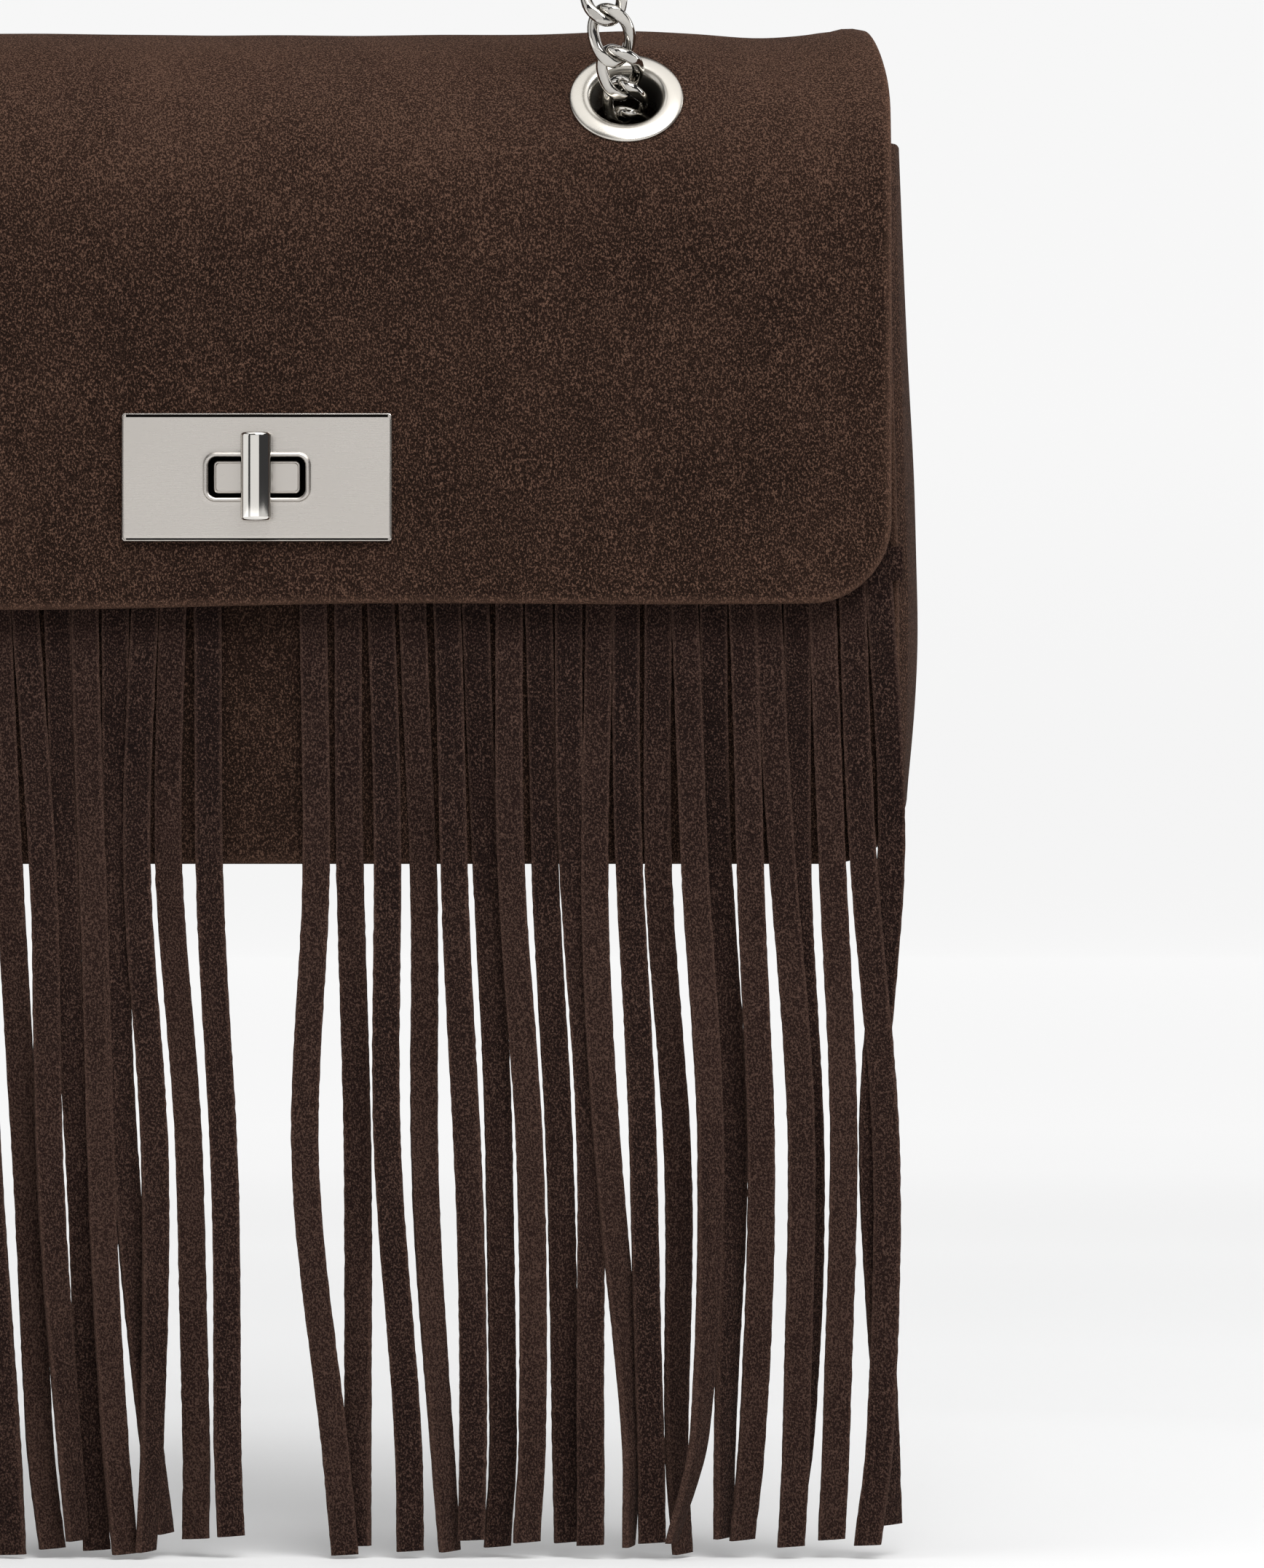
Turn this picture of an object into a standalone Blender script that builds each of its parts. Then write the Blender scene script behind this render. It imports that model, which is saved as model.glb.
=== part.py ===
"""A fringed suede flap bag with a chain strap, hanging by the top bend of its chain.

Metres, +Z up, the front of the bag faces -Y. The origin is the underside of the chain's top
bend, where a hook or a shoulder carries the bag. Inside the script every piece is placed in the
bag's own coordinates, with z = 0 at the crown of the flap, and hangs from one empty.
"""

import math

import bmesh
import bpy
from mathutils import Matrix, Vector

# The gap kept between pieces that touch.
GAP = 0.0003

# The bag's outline, seen from the front.
BAG_HEIGHT = 0.1666
FLAP_HALF_WIDTH = 0.1246
PANEL_HALF_TOP = 0.1246
PANEL_HALF_BELLY = 0.1264
BELLY_DEPTH = 0.125
PANEL_CORNER = 0.014
GUSSET_BULGE = 0.0034

# The flap goes over the top in a half round of this outside radius.
CROWN_RADIUS = 0.0386
FLAP_DROP = 0.1153
FLAP_CORNER = 0.016
SUEDE = 0.0018
STIFFENER = 0.0006
FLAP_LINING = 0.0010
FLAP_LAYERS = SUEDE + STIFFENER + FLAP_LINING + 2 * GAP

# The front panel, its lining and the gusset, from front to back.
FRONT_PANEL_Y = -0.0310
FRONT_PANEL_TOP = -0.037
LINING = 0.0008
LINING_FRONT_Y = -0.0276
LINING_TOP = -0.0376
GUSSET_TOP = -0.024
GUSSET_FULL_DEPTH_Z = -0.046
BOARD = 0.0015

# The fringe: one suede panel a side, cut into strips below a sewn header.
STRIPS = 20
STRIP_PITCH = 0.005945
STRIP_WIDTH = 0.0054
STRIP_THICKNESS = 0.0013
FRINGE_INNER_X = 0.0080
FRINGE_TOP = -0.104
SLIT_TOP = -0.110
FRINGE_TIP = -0.2995
TIP_SPREAD = 0.0022

# The turn lock, centred on x = 0 at this height.
LOCK_Z = -0.0906
PLATE_SIZE = (0.0530, 0.0252)
PLATE_THICKNESS = 0.0014
RIM_SIZE = (0.0210, 0.0096)
RIM_HEIGHT = 0.0010
SLOT_SIZE = (0.0190, 0.0080)
SLOT_CORNER = 0.0016
COLLAR_WALL = 0.0005
BACK_PLATE_SIZE = (0.0470, 0.0200)
BACK_PLATE = 0.0008
POST_PLACES = [(x, z) for x in (-0.0200, 0.0200) for z in (-0.0072, 0.0072)]
POST_RADIUS = 0.0019
SCREW_RADIUS = 0.0009
BOSS_SIZE = (0.0170, 0.0064)
BASE_FLANGE_SIZE = (0.0260, 0.0120)
BASE_FLANGE = 0.0012
PRONG_X = 0.0095
STEM_RADIUS = 0.0019
KNOB_LENGTH = 0.0173
KNOB_WIDTH = 0.0060
KNOB_DEPTH = 0.0047
KNOB_COLLAR_RADIUS = 0.00322
DETENT_HOLE_RADIUS = 0.0056
PLATE_CORNER = 0.0006
RIM_CORNER = 0.0026
BOSS_CORNER = 0.0010
BASE_CORNER = 0.0020
BASE_WASHER_SIZE = (0.0240, 0.0150)
BASE_WASHER = 0.0007
PRONG_HALF = (0.0004, 0.0020)
PRONG_SLOT_HALF = (0.0008, 0.0024)
SPRING_WASHER_RADIUS = 0.0050
SPRING_WASHER = 0.0004
RETAINER_RADIUS = 0.0038
RETAINER = 0.0008
RIVET_RADIUS = 0.0027
RIVET_HEIGHT = 0.0004

# The eyelets in the crown of the flap, tilted forward from the vertical.
EYELET_X = 0.0725
EYELET_TILT = math.radians(53.8)
EYELET_OUTER = 0.0112
EYELET_BORE = 0.0068
EYELET_WALL = 0.0006
WASHER_RADIUS = 0.0104
WASHER = 0.0008

# The chain strap, and the tabs that its ends loop through.
CHAIN_DIAMETER = 0.0092
CHAIN_POINTS = 72
HANG_HEIGHT = 0.242
HANG_Y = -0.005
TAB_X = 0.1184
TAB_Z = -0.0330
TAB_LOOP = 0.0040
TAB_LOOP_HOLE = 0.0026
TAB_WIDTH = 0.014
TAB_NECK = 0.006
TAB_THICKNESS = 0.0028
TAB_BOTTOM = -0.057

SIDES = (("left", -1), ("right", 1))


def linear(red, green, blue):
    """Screen colour values from 0 to 255 as the linear values that a shader takes."""
    out = []
    for value in (red, green, blue):
        c = value / 255
        out.append(c / 12.92 if c <= 0.04045 else ((c + 0.055) / 1.055) ** 2.4)
    return (*out, 1.0)


COLOURS = {
    "suede": (linear(72, 53, 43), 0.95, 0.0),
    "fringe_suede": (linear(62, 45, 39), 0.95, 0.0),
    "lining_cloth": (linear(92, 76, 62), 0.85, 0.0),
    "board": (linear(120, 104, 86), 0.9, 0.0),
    "satin_nickel": (linear(200, 194, 186), 0.32, 1.0),
    "polished_nickel": (linear(222, 218, 210), 0.12, 1.0),
    "spring_steel": (linear(150, 150, 152), 0.35, 1.0),
}


def clear_scene():
    for item in list(bpy.data.objects):
        bpy.data.objects.remove(item, do_unlink=True)


def new_material(name, finish):
    colour, roughness, metallic = COLOURS[finish]
    material = bpy.data.materials.new(name)
    material.use_nodes = True
    shader = material.node_tree.nodes["Principled BSDF"]
    shader.inputs["Base Color"].default_value = colour
    shader.inputs["Roughness"].default_value = roughness
    shader.inputs["Metallic"].default_value = metallic
    material.diffuse_color = colour
    return material


def place(item, finish, parent):
    """Links an object under the bag's empty and gives it its own material."""
    bpy.context.scene.collection.objects.link(item)
    item.data.materials.append(new_material(item.name, finish))
    item.parent = parent
    return item


def mesh_object(name, bm, finish, parent, round_shape=False, origin=None):
    """A new object from a bmesh, with its faces pointing out."""
    bmesh.ops.remove_doubles(bm, verts=bm.verts, dist=1e-6)
    bmesh.ops.recalc_face_normals(bm, faces=bm.faces)
    if origin is not None:
        bmesh.ops.translate(bm, verts=bm.verts, vec=-origin)
    mesh = bpy.data.meshes.new(name)
    bm.to_mesh(mesh)
    bm.free()
    if round_shape:
        mesh.shade_smooth()
        mesh.set_sharp_from_angle(angle=math.radians(35))
    item = place(bpy.data.objects.new(name, mesh), finish, parent)
    if origin is not None:
        item.location = origin
    return item


def cutter(name, bm, parent):
    """A hidden body that Boolean modifiers subtract."""
    bmesh.ops.remove_doubles(bm, verts=bm.verts, dist=1e-6)
    bmesh.ops.recalc_face_normals(bm, faces=bm.faces)
    mesh = bpy.data.meshes.new(name)
    bm.to_mesh(mesh)
    bm.free()
    item = bpy.data.objects.new(name, mesh)
    bpy.context.scene.collection.objects.link(item)
    item.parent = parent
    item.hide_render = True
    item.display_type = "WIRE"
    return item


def combine(item, tool, operation="DIFFERENCE"):
    step = item.modifiers.new(tool.name, "BOOLEAN")
    step.operation = operation
    step.solver = "EXACT"
    step.object = tool


def add_loft(bm, loops):
    """Joins equal rings of points into a closed body, with a cap at each end."""
    rings = [[bm.verts.new(point) for point in loop] for loop in loops]
    count = len(rings[0])
    for ring, following in zip(rings, rings[1:]):
        for i in range(count):
            j = (i + 1) % count
            bm.faces.new((ring[i], ring[j], following[j], following[i]))
    bm.faces.new(rings[0])
    bm.faces.new(list(reversed(rings[-1])))
    return bm


def lofted(loops):
    return add_loft(bmesh.new(), loops)


def slab(outline, y_front, y_back):
    """A flat sheet: an outline of (x, z) points between two planes across Y."""
    return lofted([[(x, y, z) for x, z in outline] for y in (y_front, y_back)])


def rounded_rectangle(width, height, corner, z_middle=0.0, steps=3):
    """The (x, z) points of a rectangle with round corners, centred on x = 0."""
    points = []
    for turn, (sx, sz) in enumerate(((1, 1), (-1, 1), (-1, -1), (1, -1))):
        for i in range(steps + 1):
            angle = math.radians(90 * (turn + i / steps))
            points.append(
                (
                    sx * (width / 2 - corner) + corner * math.cos(angle),
                    z_middle + sz * (height / 2 - corner) + corner * math.sin(angle),
                )
            )
    return points


def circle(radius, x_middle=0.0, z_middle=0.0, sides=20):
    angles = [2 * math.pi * i / sides for i in range(sides)]
    return [(x_middle + radius * math.cos(a), z_middle + radius * math.sin(a)) for a in angles]


def turned(profile, sides):
    """A ring turned about Z from a closed profile of (radius, height) points."""
    bm = bmesh.new()
    rings = []
    for i in range(sides):
        a = 2 * math.pi * i / sides
        rings.append([bm.verts.new((r * math.cos(a), r * math.sin(a), h)) for r, h in profile])
    count = len(profile)
    for i in range(sides):
        ring, following = rings[i], rings[(i + 1) % sides]
        for k in range(count):
            m = (k + 1) % count
            bm.faces.new((ring[k], ring[m], following[m], following[k]))
    return bm


def panel_half_width(z):
    """Half the width of the front and back panels, which widen gently down to the belly."""
    t = min(max((-z - 0.036) / (BELLY_DEPTH - 0.036), 0.0), 1.0)
    return PANEL_HALF_TOP + (PANEL_HALF_BELLY - PANEL_HALF_TOP) * t * t * (3 - 2 * t)


def right_edge(z_top, inset=0.0, corner_steps=7):
    """The right half of a panel's outline from its top corner to the bottom, with the normals."""
    levels = [z_top + (-BAG_HEIGHT + PANEL_CORNER - z_top) * i / 6 for i in range(6)]
    points = [(panel_half_width(z) - inset, z, 1.0) for z in levels]
    radius = PANEL_CORNER - inset
    for i in range(corner_steps + 1):
        angle = math.radians(90 * i / corner_steps)
        x = PANEL_HALF_BELLY - PANEL_CORNER + radius * math.cos(angle)
        z = -BAG_HEIGHT + PANEL_CORNER - radius * math.sin(angle)
        points.append((x, z, math.cos(angle)))
    return points


def panel_outline(z_top, inset=0.0):
    """A whole panel's outline as (x, z) points."""
    right = [(x, z) for x, z, _ in right_edge(z_top, inset)]
    return right + [(-x, z) for x, z in reversed(right)]


def crown_point(offset, angle):
    """A point on the flap's half round, from straight back (-90) over the top to the front (90)."""
    radius = CROWN_RADIUS - offset
    a = math.radians(angle)
    return Vector((0, -radius * math.sin(a), -CROWN_RADIUS + radius * math.cos(a)))


def flap_path(offset, back_end, drop, edge_inset=0.0):
    """Stations down the flap as (half width, outside point), from the back to the front edge.

    offset is the depth below the suede's outer face. back_end is the angle where the piece
    starts on the half round. The front edge has round corners.
    """
    half = FLAP_HALF_WIDTH - edge_inset
    corner = FLAP_CORNER - edge_inset
    stations = []
    count = max(3, round((90 - back_end) / 11.25))
    for i in range(count + 1):
        angle = back_end + (90 - back_end) * i / count
        stations.append((half, crown_point(offset, angle)))
    y = stations[-1][1].y
    for i in range(7):
        angle = math.radians(90 * i / 6)
        width = half - corner + corner * math.cos(angle)
        z = -drop + edge_inset + corner - corner * math.sin(angle)
        stations.append((width, Vector((0, y, z))))
    return stations


def sheet_from_paths(outer, inner):
    """A sheet of even thickness from two lists of stations."""
    loops = []
    for (w, a), (v, b) in zip(outer, inner):
        loops.append([(-w, a.y, a.z), (w, a.y, a.z), (v, b.y, b.z), (-v, b.y, b.z)])
    return lofted(loops)


def back_panel_path(offset):
    """Stations up the back panel, from its bottom edge to the start of the half round."""
    stations = []
    for x, z, _ in reversed(right_edge(-CROWN_RADIUS - 0.004)):
        stations.append((x, Vector((0, CROWN_RADIUS - offset, z))))
    return stations


def make_back_and_flap(parent, cutters):
    outer = back_panel_path(0.0) + flap_path(0.0, -90, FLAP_DROP)
    inner = back_panel_path(SUEDE) + flap_path(SUEDE, -90, FLAP_DROP)
    item = mesh_object("back_and_flap", sheet_from_paths(outer, inner), "suede", parent, True)
    for tool in cutters:
        combine(item, tool)


def make_flap_stiffener(parent, cutters):
    top = SUEDE + GAP
    outer = flap_path(top, -45, FLAP_DROP, 0.004)
    inner = flap_path(top + STIFFENER, -45, FLAP_DROP, 0.004)
    item = mesh_object("flap_stiffener", sheet_from_paths(outer, inner), "board", parent, True)
    for tool in cutters:
        combine(item, tool)


def make_flap_lining(parent, cutters):
    top = FLAP_LAYERS - FLAP_LINING
    outer = flap_path(top, -79, FLAP_DROP, 0.0012)
    inner = flap_path(FLAP_LAYERS, -79, FLAP_DROP, 0.0012)
    item = mesh_object("flap_lining", sheet_from_paths(outer, inner), "suede", parent, True)
    for tool in cutters:
        combine(item, tool)


def prong_pair(half_size, y_front, y_back):
    """Two upright blocks where the lock base's prongs go, one on each side."""
    bm = bmesh.new()
    half_x, half_z = half_size
    for side in (-1, 1):
        middle = side * PRONG_X
        low, high = LOCK_Z - half_z, LOCK_Z + half_z
        left, right = middle - half_x, middle + half_x
        outline = [(left, low), (right, low), (right, high), (left, high)]
        add_loft(bm, [[(x, y, z) for x, z in outline] for y in (y_front, y_back)])
    return bm


def make_front_panel(parent):
    sheet = slab(panel_outline(FRONT_PANEL_TOP), FRONT_PANEL_Y, FRONT_PANEL_Y + SUEDE)
    item = mesh_object("front_panel", sheet, "suede", parent)
    y_front, y_back = FRONT_PANEL_Y - 0.002, FRONT_PANEL_Y + SUEDE + 0.002
    hole = slab(circle(DETENT_HOLE_RADIUS, z_middle=LOCK_Z), y_front, y_back)
    combine(item, cutter("front_panel_lock_hole", hole, parent))
    slots = prong_pair(PRONG_SLOT_HALF, y_front, y_back)
    combine(item, cutter("front_panel_prong_slots", slots, parent))


def gusset_depth(z):
    """Where the gusset starts and ends across Y: full below, drawn in under the flap's crown."""
    front = FRONT_PANEL_Y + SUEDE + GAP
    back = CROWN_RADIUS - SUEDE - GAP
    t = min(max((z - GUSSET_FULL_DEPTH_Z) / (GUSSET_TOP - GUSSET_FULL_DEPTH_Z), 0.0), 1.0)
    return front + 0.002 * t * t, back - 0.0075 * t * t


def gusset_section(side, outer, inner):
    """One ring of the gusset: its outer face swells sideways between the two seams."""
    x, z, normal = outer
    front, back = gusset_depth(z)
    swell = GUSSET_BULGE * normal * math.sin(math.pi * min(1.0, -z / 0.25)) ** 0.5
    ins, zi, _ = inner
    depth = back - front
    places = [(front, 0), (front + 0.2 * depth, 1), (back - 0.2 * depth, 1), (back, 0)]
    ring = [(side * (x + swell * s), y, z) for y, s in places]
    ring += [(side * (ins + swell * s), y, zi) for y, s in reversed(places)]
    return ring


def make_gusset(parent):
    outer, inner = right_edge(GUSSET_TOP), right_edge(GUSSET_TOP, SUEDE)
    right = [gusset_section(1, o, i) for o, i in zip(outer, inner)]
    left = [gusset_section(-1, o, i) for o, i in zip(outer, inner)]
    mesh_object("gusset", lofted(left + right[::-1]), "suede", parent, True)


def make_base_board(parent):
    half = PANEL_HALF_BELLY - PANEL_CORNER
    top = -BAG_HEIGHT + SUEDE + GAP + BOARD
    outline = [(-half, top), (half, top), (half, top - BOARD), (-half, top - BOARD)]
    back = CROWN_RADIUS - SUEDE - GAP
    mesh_object("base_board", slab(outline, LINING_FRONT_Y, back), "board", parent)


def lining_outline(inset, z_top):
    """The lining's outline, which sits on the base board at the bottom."""
    floor = -BAG_HEIGHT + SUEDE + BOARD + 2 * GAP
    points = []
    for x, z in panel_outline(z_top, SUEDE + GAP + inset):
        points.append((x, max(z, floor + inset)))
    kept = [points[0]]
    for point in points[1:]:
        if math.dist(point, kept[-1]) > 1e-5:
            kept.append(point)
    return kept


def make_body_lining(parent):
    back = CROWN_RADIUS - SUEDE - GAP
    outside = slab(lining_outline(0.0, LINING_TOP), LINING_FRONT_Y, back)
    item = mesh_object("body_lining", outside, "lining_cloth", parent)
    room = slab(lining_outline(LINING, LINING_TOP + 0.01), LINING_FRONT_Y + LINING, back - LINING)
    combine(item, cutter("lining_hollow", room, parent))


def fringe_tip(index):
    """Where a strip ends: the knife cut wanders a little."""
    return FRINGE_TIP + TIP_SPREAD * math.sin(2.4 * index + 0.6)


def make_fringe(parent, name, side):
    """A comb: the header strip, then separate strips down to their tips."""
    outline = [(FRINGE_INNER_X, FRINGE_TOP)]
    for i in range(STRIPS):
        left = FRINGE_INNER_X + i * STRIP_PITCH
        right = left + STRIP_WIDTH
        tip = fringe_tip(i)
        outline += [(left, SLIT_TOP), (left, tip), (right, tip), (right, SLIT_TOP)]
    outline.append((outline[-1][0], FRINGE_TOP))
    outline = [(side * x, z) for x, z in outline]
    back = FRONT_PANEL_Y - GAP
    mesh_object(name, slab(outline, back - STRIP_THICKNESS, back), "fringe_suede", parent)


def lock_shape(size, corner, y_front, y_back):
    """A rounded block on the lock's centre line."""
    return slab(rounded_rectangle(*size, corner, LOCK_Z), y_front, y_back)


def add_pins(bm, radius, y_front, y_back, sides=12):
    for x, z in POST_PLACES:
        ring = circle(radius, x, LOCK_Z + z, sides)
        add_loft(bm, [[(px, y, pz) for px, pz in ring] for y in (y_front, y_back)])
    return bm


def flap_lock_cutters(parent):
    """The slot and the four post holes that the lock plate needs in the flap's layers."""
    y_front, y_back = -CROWN_RADIUS - 0.002, -CROWN_RADIUS + FLAP_LAYERS + 0.002
    size = [s + 2 * COLLAR_WALL + 2 * GAP for s in SLOT_SIZE]
    slot = lock_shape(size, SLOT_CORNER + COLLAR_WALL, y_front, y_back)
    posts = add_pins(bmesh.new(), POST_RADIUS + GAP, y_front, y_back)
    return [cutter("flap_lock_slot", slot, parent), cutter("flap_post_holes", posts, parent)]


def make_lock_plate(parent):
    back = -CROWN_RADIUS - GAP
    front = back - PLATE_THICKNESS
    plate = lock_shape(PLATE_SIZE, PLATE_CORNER, front, back)
    item = mesh_object("lock_plate", plate, "satin_nickel", parent)
    rim = lock_shape(RIM_SIZE, RIM_CORNER, front - RIM_HEIGHT, back - 0.0002)
    combine(item, cutter("lock_plate_rim", rim, parent), "UNION")
    collar_size = [s + 2 * COLLAR_WALL for s in SLOT_SIZE]
    inside = -CROWN_RADIUS + FLAP_LAYERS
    collar = lock_shape(collar_size, SLOT_CORNER + COLLAR_WALL, back - 0.0004, inside + BACK_PLATE)
    combine(item, cutter("lock_plate_collar", collar, parent), "UNION")
    posts = add_pins(bmesh.new(), POST_RADIUS, back - 0.0004, inside)
    combine(item, cutter("lock_plate_posts", posts, parent), "UNION")
    slot = lock_shape(SLOT_SIZE, SLOT_CORNER, front - 0.003, inside + 0.003)
    combine(item, cutter("lock_plate_slot", slot, parent))
    bores = add_pins(bmesh.new(), SCREW_RADIUS + GAP, back - 0.0007, inside + 0.003)
    combine(item, cutter("lock_plate_bores", bores, parent))


def make_lock_back_plate(parent):
    front = -CROWN_RADIUS + FLAP_LAYERS + GAP
    item = mesh_object(
        "lock_back_plate",
        lock_shape(BACK_PLATE_SIZE, 0.0015, front, front + BACK_PLATE),
        "spring_steel",
        parent,
    )
    size = [s + 2 * COLLAR_WALL + 2 * GAP for s in SLOT_SIZE]
    slot = lock_shape(size, SLOT_CORNER + COLLAR_WALL, front - 0.002, front + 0.003)
    combine(item, cutter("back_plate_slot", slot, parent))
    holes = add_pins(bmesh.new(), SCREW_RADIUS + GAP, front - 0.002, front + 0.003)
    combine(item, cutter("back_plate_holes", holes, parent))


def make_lock_screws(parent):
    """Four screws from inside the flap, through the back plate into the lock plate's posts."""
    head_front = -CROWN_RADIUS + FLAP_LAYERS + BACK_PLATE + 2 * GAP
    shank = head_front + CROWN_RADIUS + 0.0004
    profile = [(0.0, -shank), (SCREW_RADIUS, -shank), (SCREW_RADIUS, 0.0), (0.0018, 0.0)]
    profile += [(0.0018, 0.0003), (0.0011, 0.0008), (0.0, 0.0008)]
    for number, (x, z) in enumerate(POST_PLACES, 1):
        bm = bmesh.new()
        rings = []
        for radius, height in profile:
            points = circle(max(radius, 0.0001), x, LOCK_Z + z, 12)
            rings.append([(px, head_front + height, pz) for px, pz in points])
        add_loft(bm, rings)
        mesh_object(f"lock_screw_{number}", bm, "spring_steel", parent)


def make_lock_base(parent):
    """The base on the front panel: a flange, a boss that fills the plate's slot, and two prongs."""
    back = FRONT_PANEL_Y - GAP
    front = back - BASE_FLANGE
    flange = lock_shape(BASE_FLANGE_SIZE, BASE_CORNER, front, back)
    item = mesh_object("lock_base", flange, "satin_nickel", parent)
    boss_front = -CROWN_RADIUS - PLATE_THICKNESS
    boss = lock_shape(BOSS_SIZE, BOSS_CORNER, boss_front, front + 0.0004)
    combine(item, cutter("lock_base_boss", boss, parent), "UNION")
    prongs = prong_pair(PRONG_HALF, back - 0.0004, LINING_FRONT_Y - GAP)
    combine(item, cutter("lock_base_prongs", prongs, parent), "UNION")
    bore = slab(circle(STEM_RADIUS + GAP, z_middle=LOCK_Z), boss_front - 0.002, back + 0.002)
    combine(item, cutter("lock_base_bore", bore, parent))


def make_lock_base_washer(parent):
    front = FRONT_PANEL_Y + SUEDE + GAP
    shape = lock_shape(BASE_WASHER_SIZE, BASE_CORNER, front, front + BASE_WASHER)
    item = mesh_object("lock_base_washer", shape, "spring_steel", parent)
    hole = slab(circle(DETENT_HOLE_RADIUS, z_middle=LOCK_Z), front - 0.002, front + 0.003)
    combine(item, cutter("base_washer_hole", hole, parent))
    slots = prong_pair(PRONG_SLOT_HALF, front - 0.002, front + 0.003)
    combine(item, cutter("base_washer_slots", slots, parent))


def lock_ring(name, inner, outer, y_front, thickness, parent):
    """A flat washer round the knob's stem."""
    bm = turned([(inner, 0), (outer, 0), (outer, thickness), (inner, thickness)], 20)
    bmesh.ops.rotate(bm, verts=bm.verts, matrix=Matrix.Rotation(math.radians(-90), 3, "X"))
    bmesh.ops.translate(bm, verts=bm.verts, vec=(0, y_front, LOCK_Z))
    return mesh_object(name, bm, "spring_steel", parent, True)


def make_lock_detent(parent):
    """The spring washer that holds the knob in place and the retainer behind it."""
    spring_front = FRONT_PANEL_Y
    bore = STEM_RADIUS + GAP
    lock_ring("lock_spring_washer", bore, SPRING_WASHER_RADIUS, spring_front, SPRING_WASHER, parent)
    retainer_front = spring_front + SPRING_WASHER + GAP
    lock_ring("lock_retainer", bore, RETAINER_RADIUS, retainer_front, RETAINER, parent)
    return retainer_front + RETAINER + GAP


def make_lock_knob(parent, stem_end):
    """The turn bar with its collar, its stem and the riveted stem end, as one turned piece."""
    collar_back = -CROWN_RADIUS - PLATE_THICKNESS - GAP
    bar_back = -CROWN_RADIUS - GAP - PLATE_THICKNESS - RIM_HEIGHT - 0.0006
    bar_front = bar_back - KNOB_DEPTH
    origin = Vector((0, bar_back, LOCK_Z))
    half = KNOB_WIDTH / 2
    section = []
    for i in range(9):
        angle = math.radians(180 * i / 8)
        section.append((half * math.cos(angle), bar_front + 0.0022 - 0.0022 * math.sin(angle)))
    section += [(-half + 0.0004, bar_back), (half - 0.0004, bar_back)]
    middle_y = (bar_front + bar_back) / 2
    loops = []
    for z, shrink in ((-0.5, 0.82), (-0.465, 1.0), (0.465, 1.0), (0.5, 0.82)):
        height = LOCK_Z + z * KNOB_LENGTH
        loops.append([(x * shrink, middle_y + (y - middle_y) * shrink, height) for x, y in section])
    item = mesh_object("lock_knob", lofted(loops), "polished_nickel", parent, True, origin)
    profile = [(KNOB_COLLAR_RADIUS, bar_back - 0.0008), (KNOB_COLLAR_RADIUS, collar_back)]
    profile += [(STEM_RADIUS, collar_back), (STEM_RADIUS, stem_end)]
    profile += [(RIVET_RADIUS, stem_end), (RIVET_RADIUS, stem_end + RIVET_HEIGHT)]
    rings = [[(x, y, z) for x, z in circle(r, z_middle=LOCK_Z)] for r, y in profile]
    combine(item, cutter("knob_stem", lofted(rings), parent), "UNION")


def eyelet_frame(side):
    """Puts a ring turned about Z on the crown, its axis square to the suede."""
    place_at = Matrix.Translation((side * EYELET_X, 0, -CROWN_RADIUS))
    return place_at @ Matrix.Rotation(EYELET_TILT, 4, "X")


def eyelet_cutter(side, name, parent):
    radius = EYELET_BORE + EYELET_WALL + GAP
    low, high = CROWN_RADIUS - 0.012, CROWN_RADIUS + 0.006
    bm = lofted([[(x, z, h) for x, z in circle(radius, sides=24)] for h in (low, high)])
    bmesh.ops.transform(bm, matrix=eyelet_frame(side), verts=bm.verts)
    return cutter(f"eyelet_hole_{name}", bm, parent)


def make_eyelet(parent, name, side):
    """A drawn metal eyelet: a domed flange outside, a barrel, and a rolled edge inside."""
    seat = CROWN_RADIUS + GAP
    barrel = EYELET_BORE + EYELET_WALL
    washer_top = math.sqrt((CROWN_RADIUS - FLAP_LAYERS) ** 2 - WASHER_RADIUS**2) - GAP
    roll = washer_top - WASHER - GAP
    profile = [
        (barrel, seat),
        (EYELET_OUTER - 0.0004, seat),
        (EYELET_OUTER, seat + 0.0006),
        (EYELET_OUTER - 0.0010, seat + 0.0016),
        (EYELET_OUTER - 0.0024, seat + 0.0020),
        (EYELET_BORE + 0.0006, seat + 0.0014),
        (EYELET_BORE, seat + 0.0004),
        (EYELET_BORE, roll - 0.0004),
        (barrel + 0.0010, roll - 0.0007),
        (barrel + 0.0012, roll),
        (barrel, roll),
    ]
    bm = turned(profile, 32)
    bmesh.ops.transform(bm, matrix=eyelet_frame(side), verts=bm.verts)
    mesh_object(f"eyelet_{name}", bm, "polished_nickel", parent, True)
    inner = barrel + GAP
    low = washer_top - WASHER
    ring = [(inner, low), (WASHER_RADIUS, low), (WASHER_RADIUS, washer_top), (inner, washer_top)]
    bm = turned(ring, 28)
    bmesh.ops.transform(bm, matrix=eyelet_frame(side), verts=bm.verts)
    mesh_object(f"eyelet_washer_{name}", bm, "spring_steel", parent, True)


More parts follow.
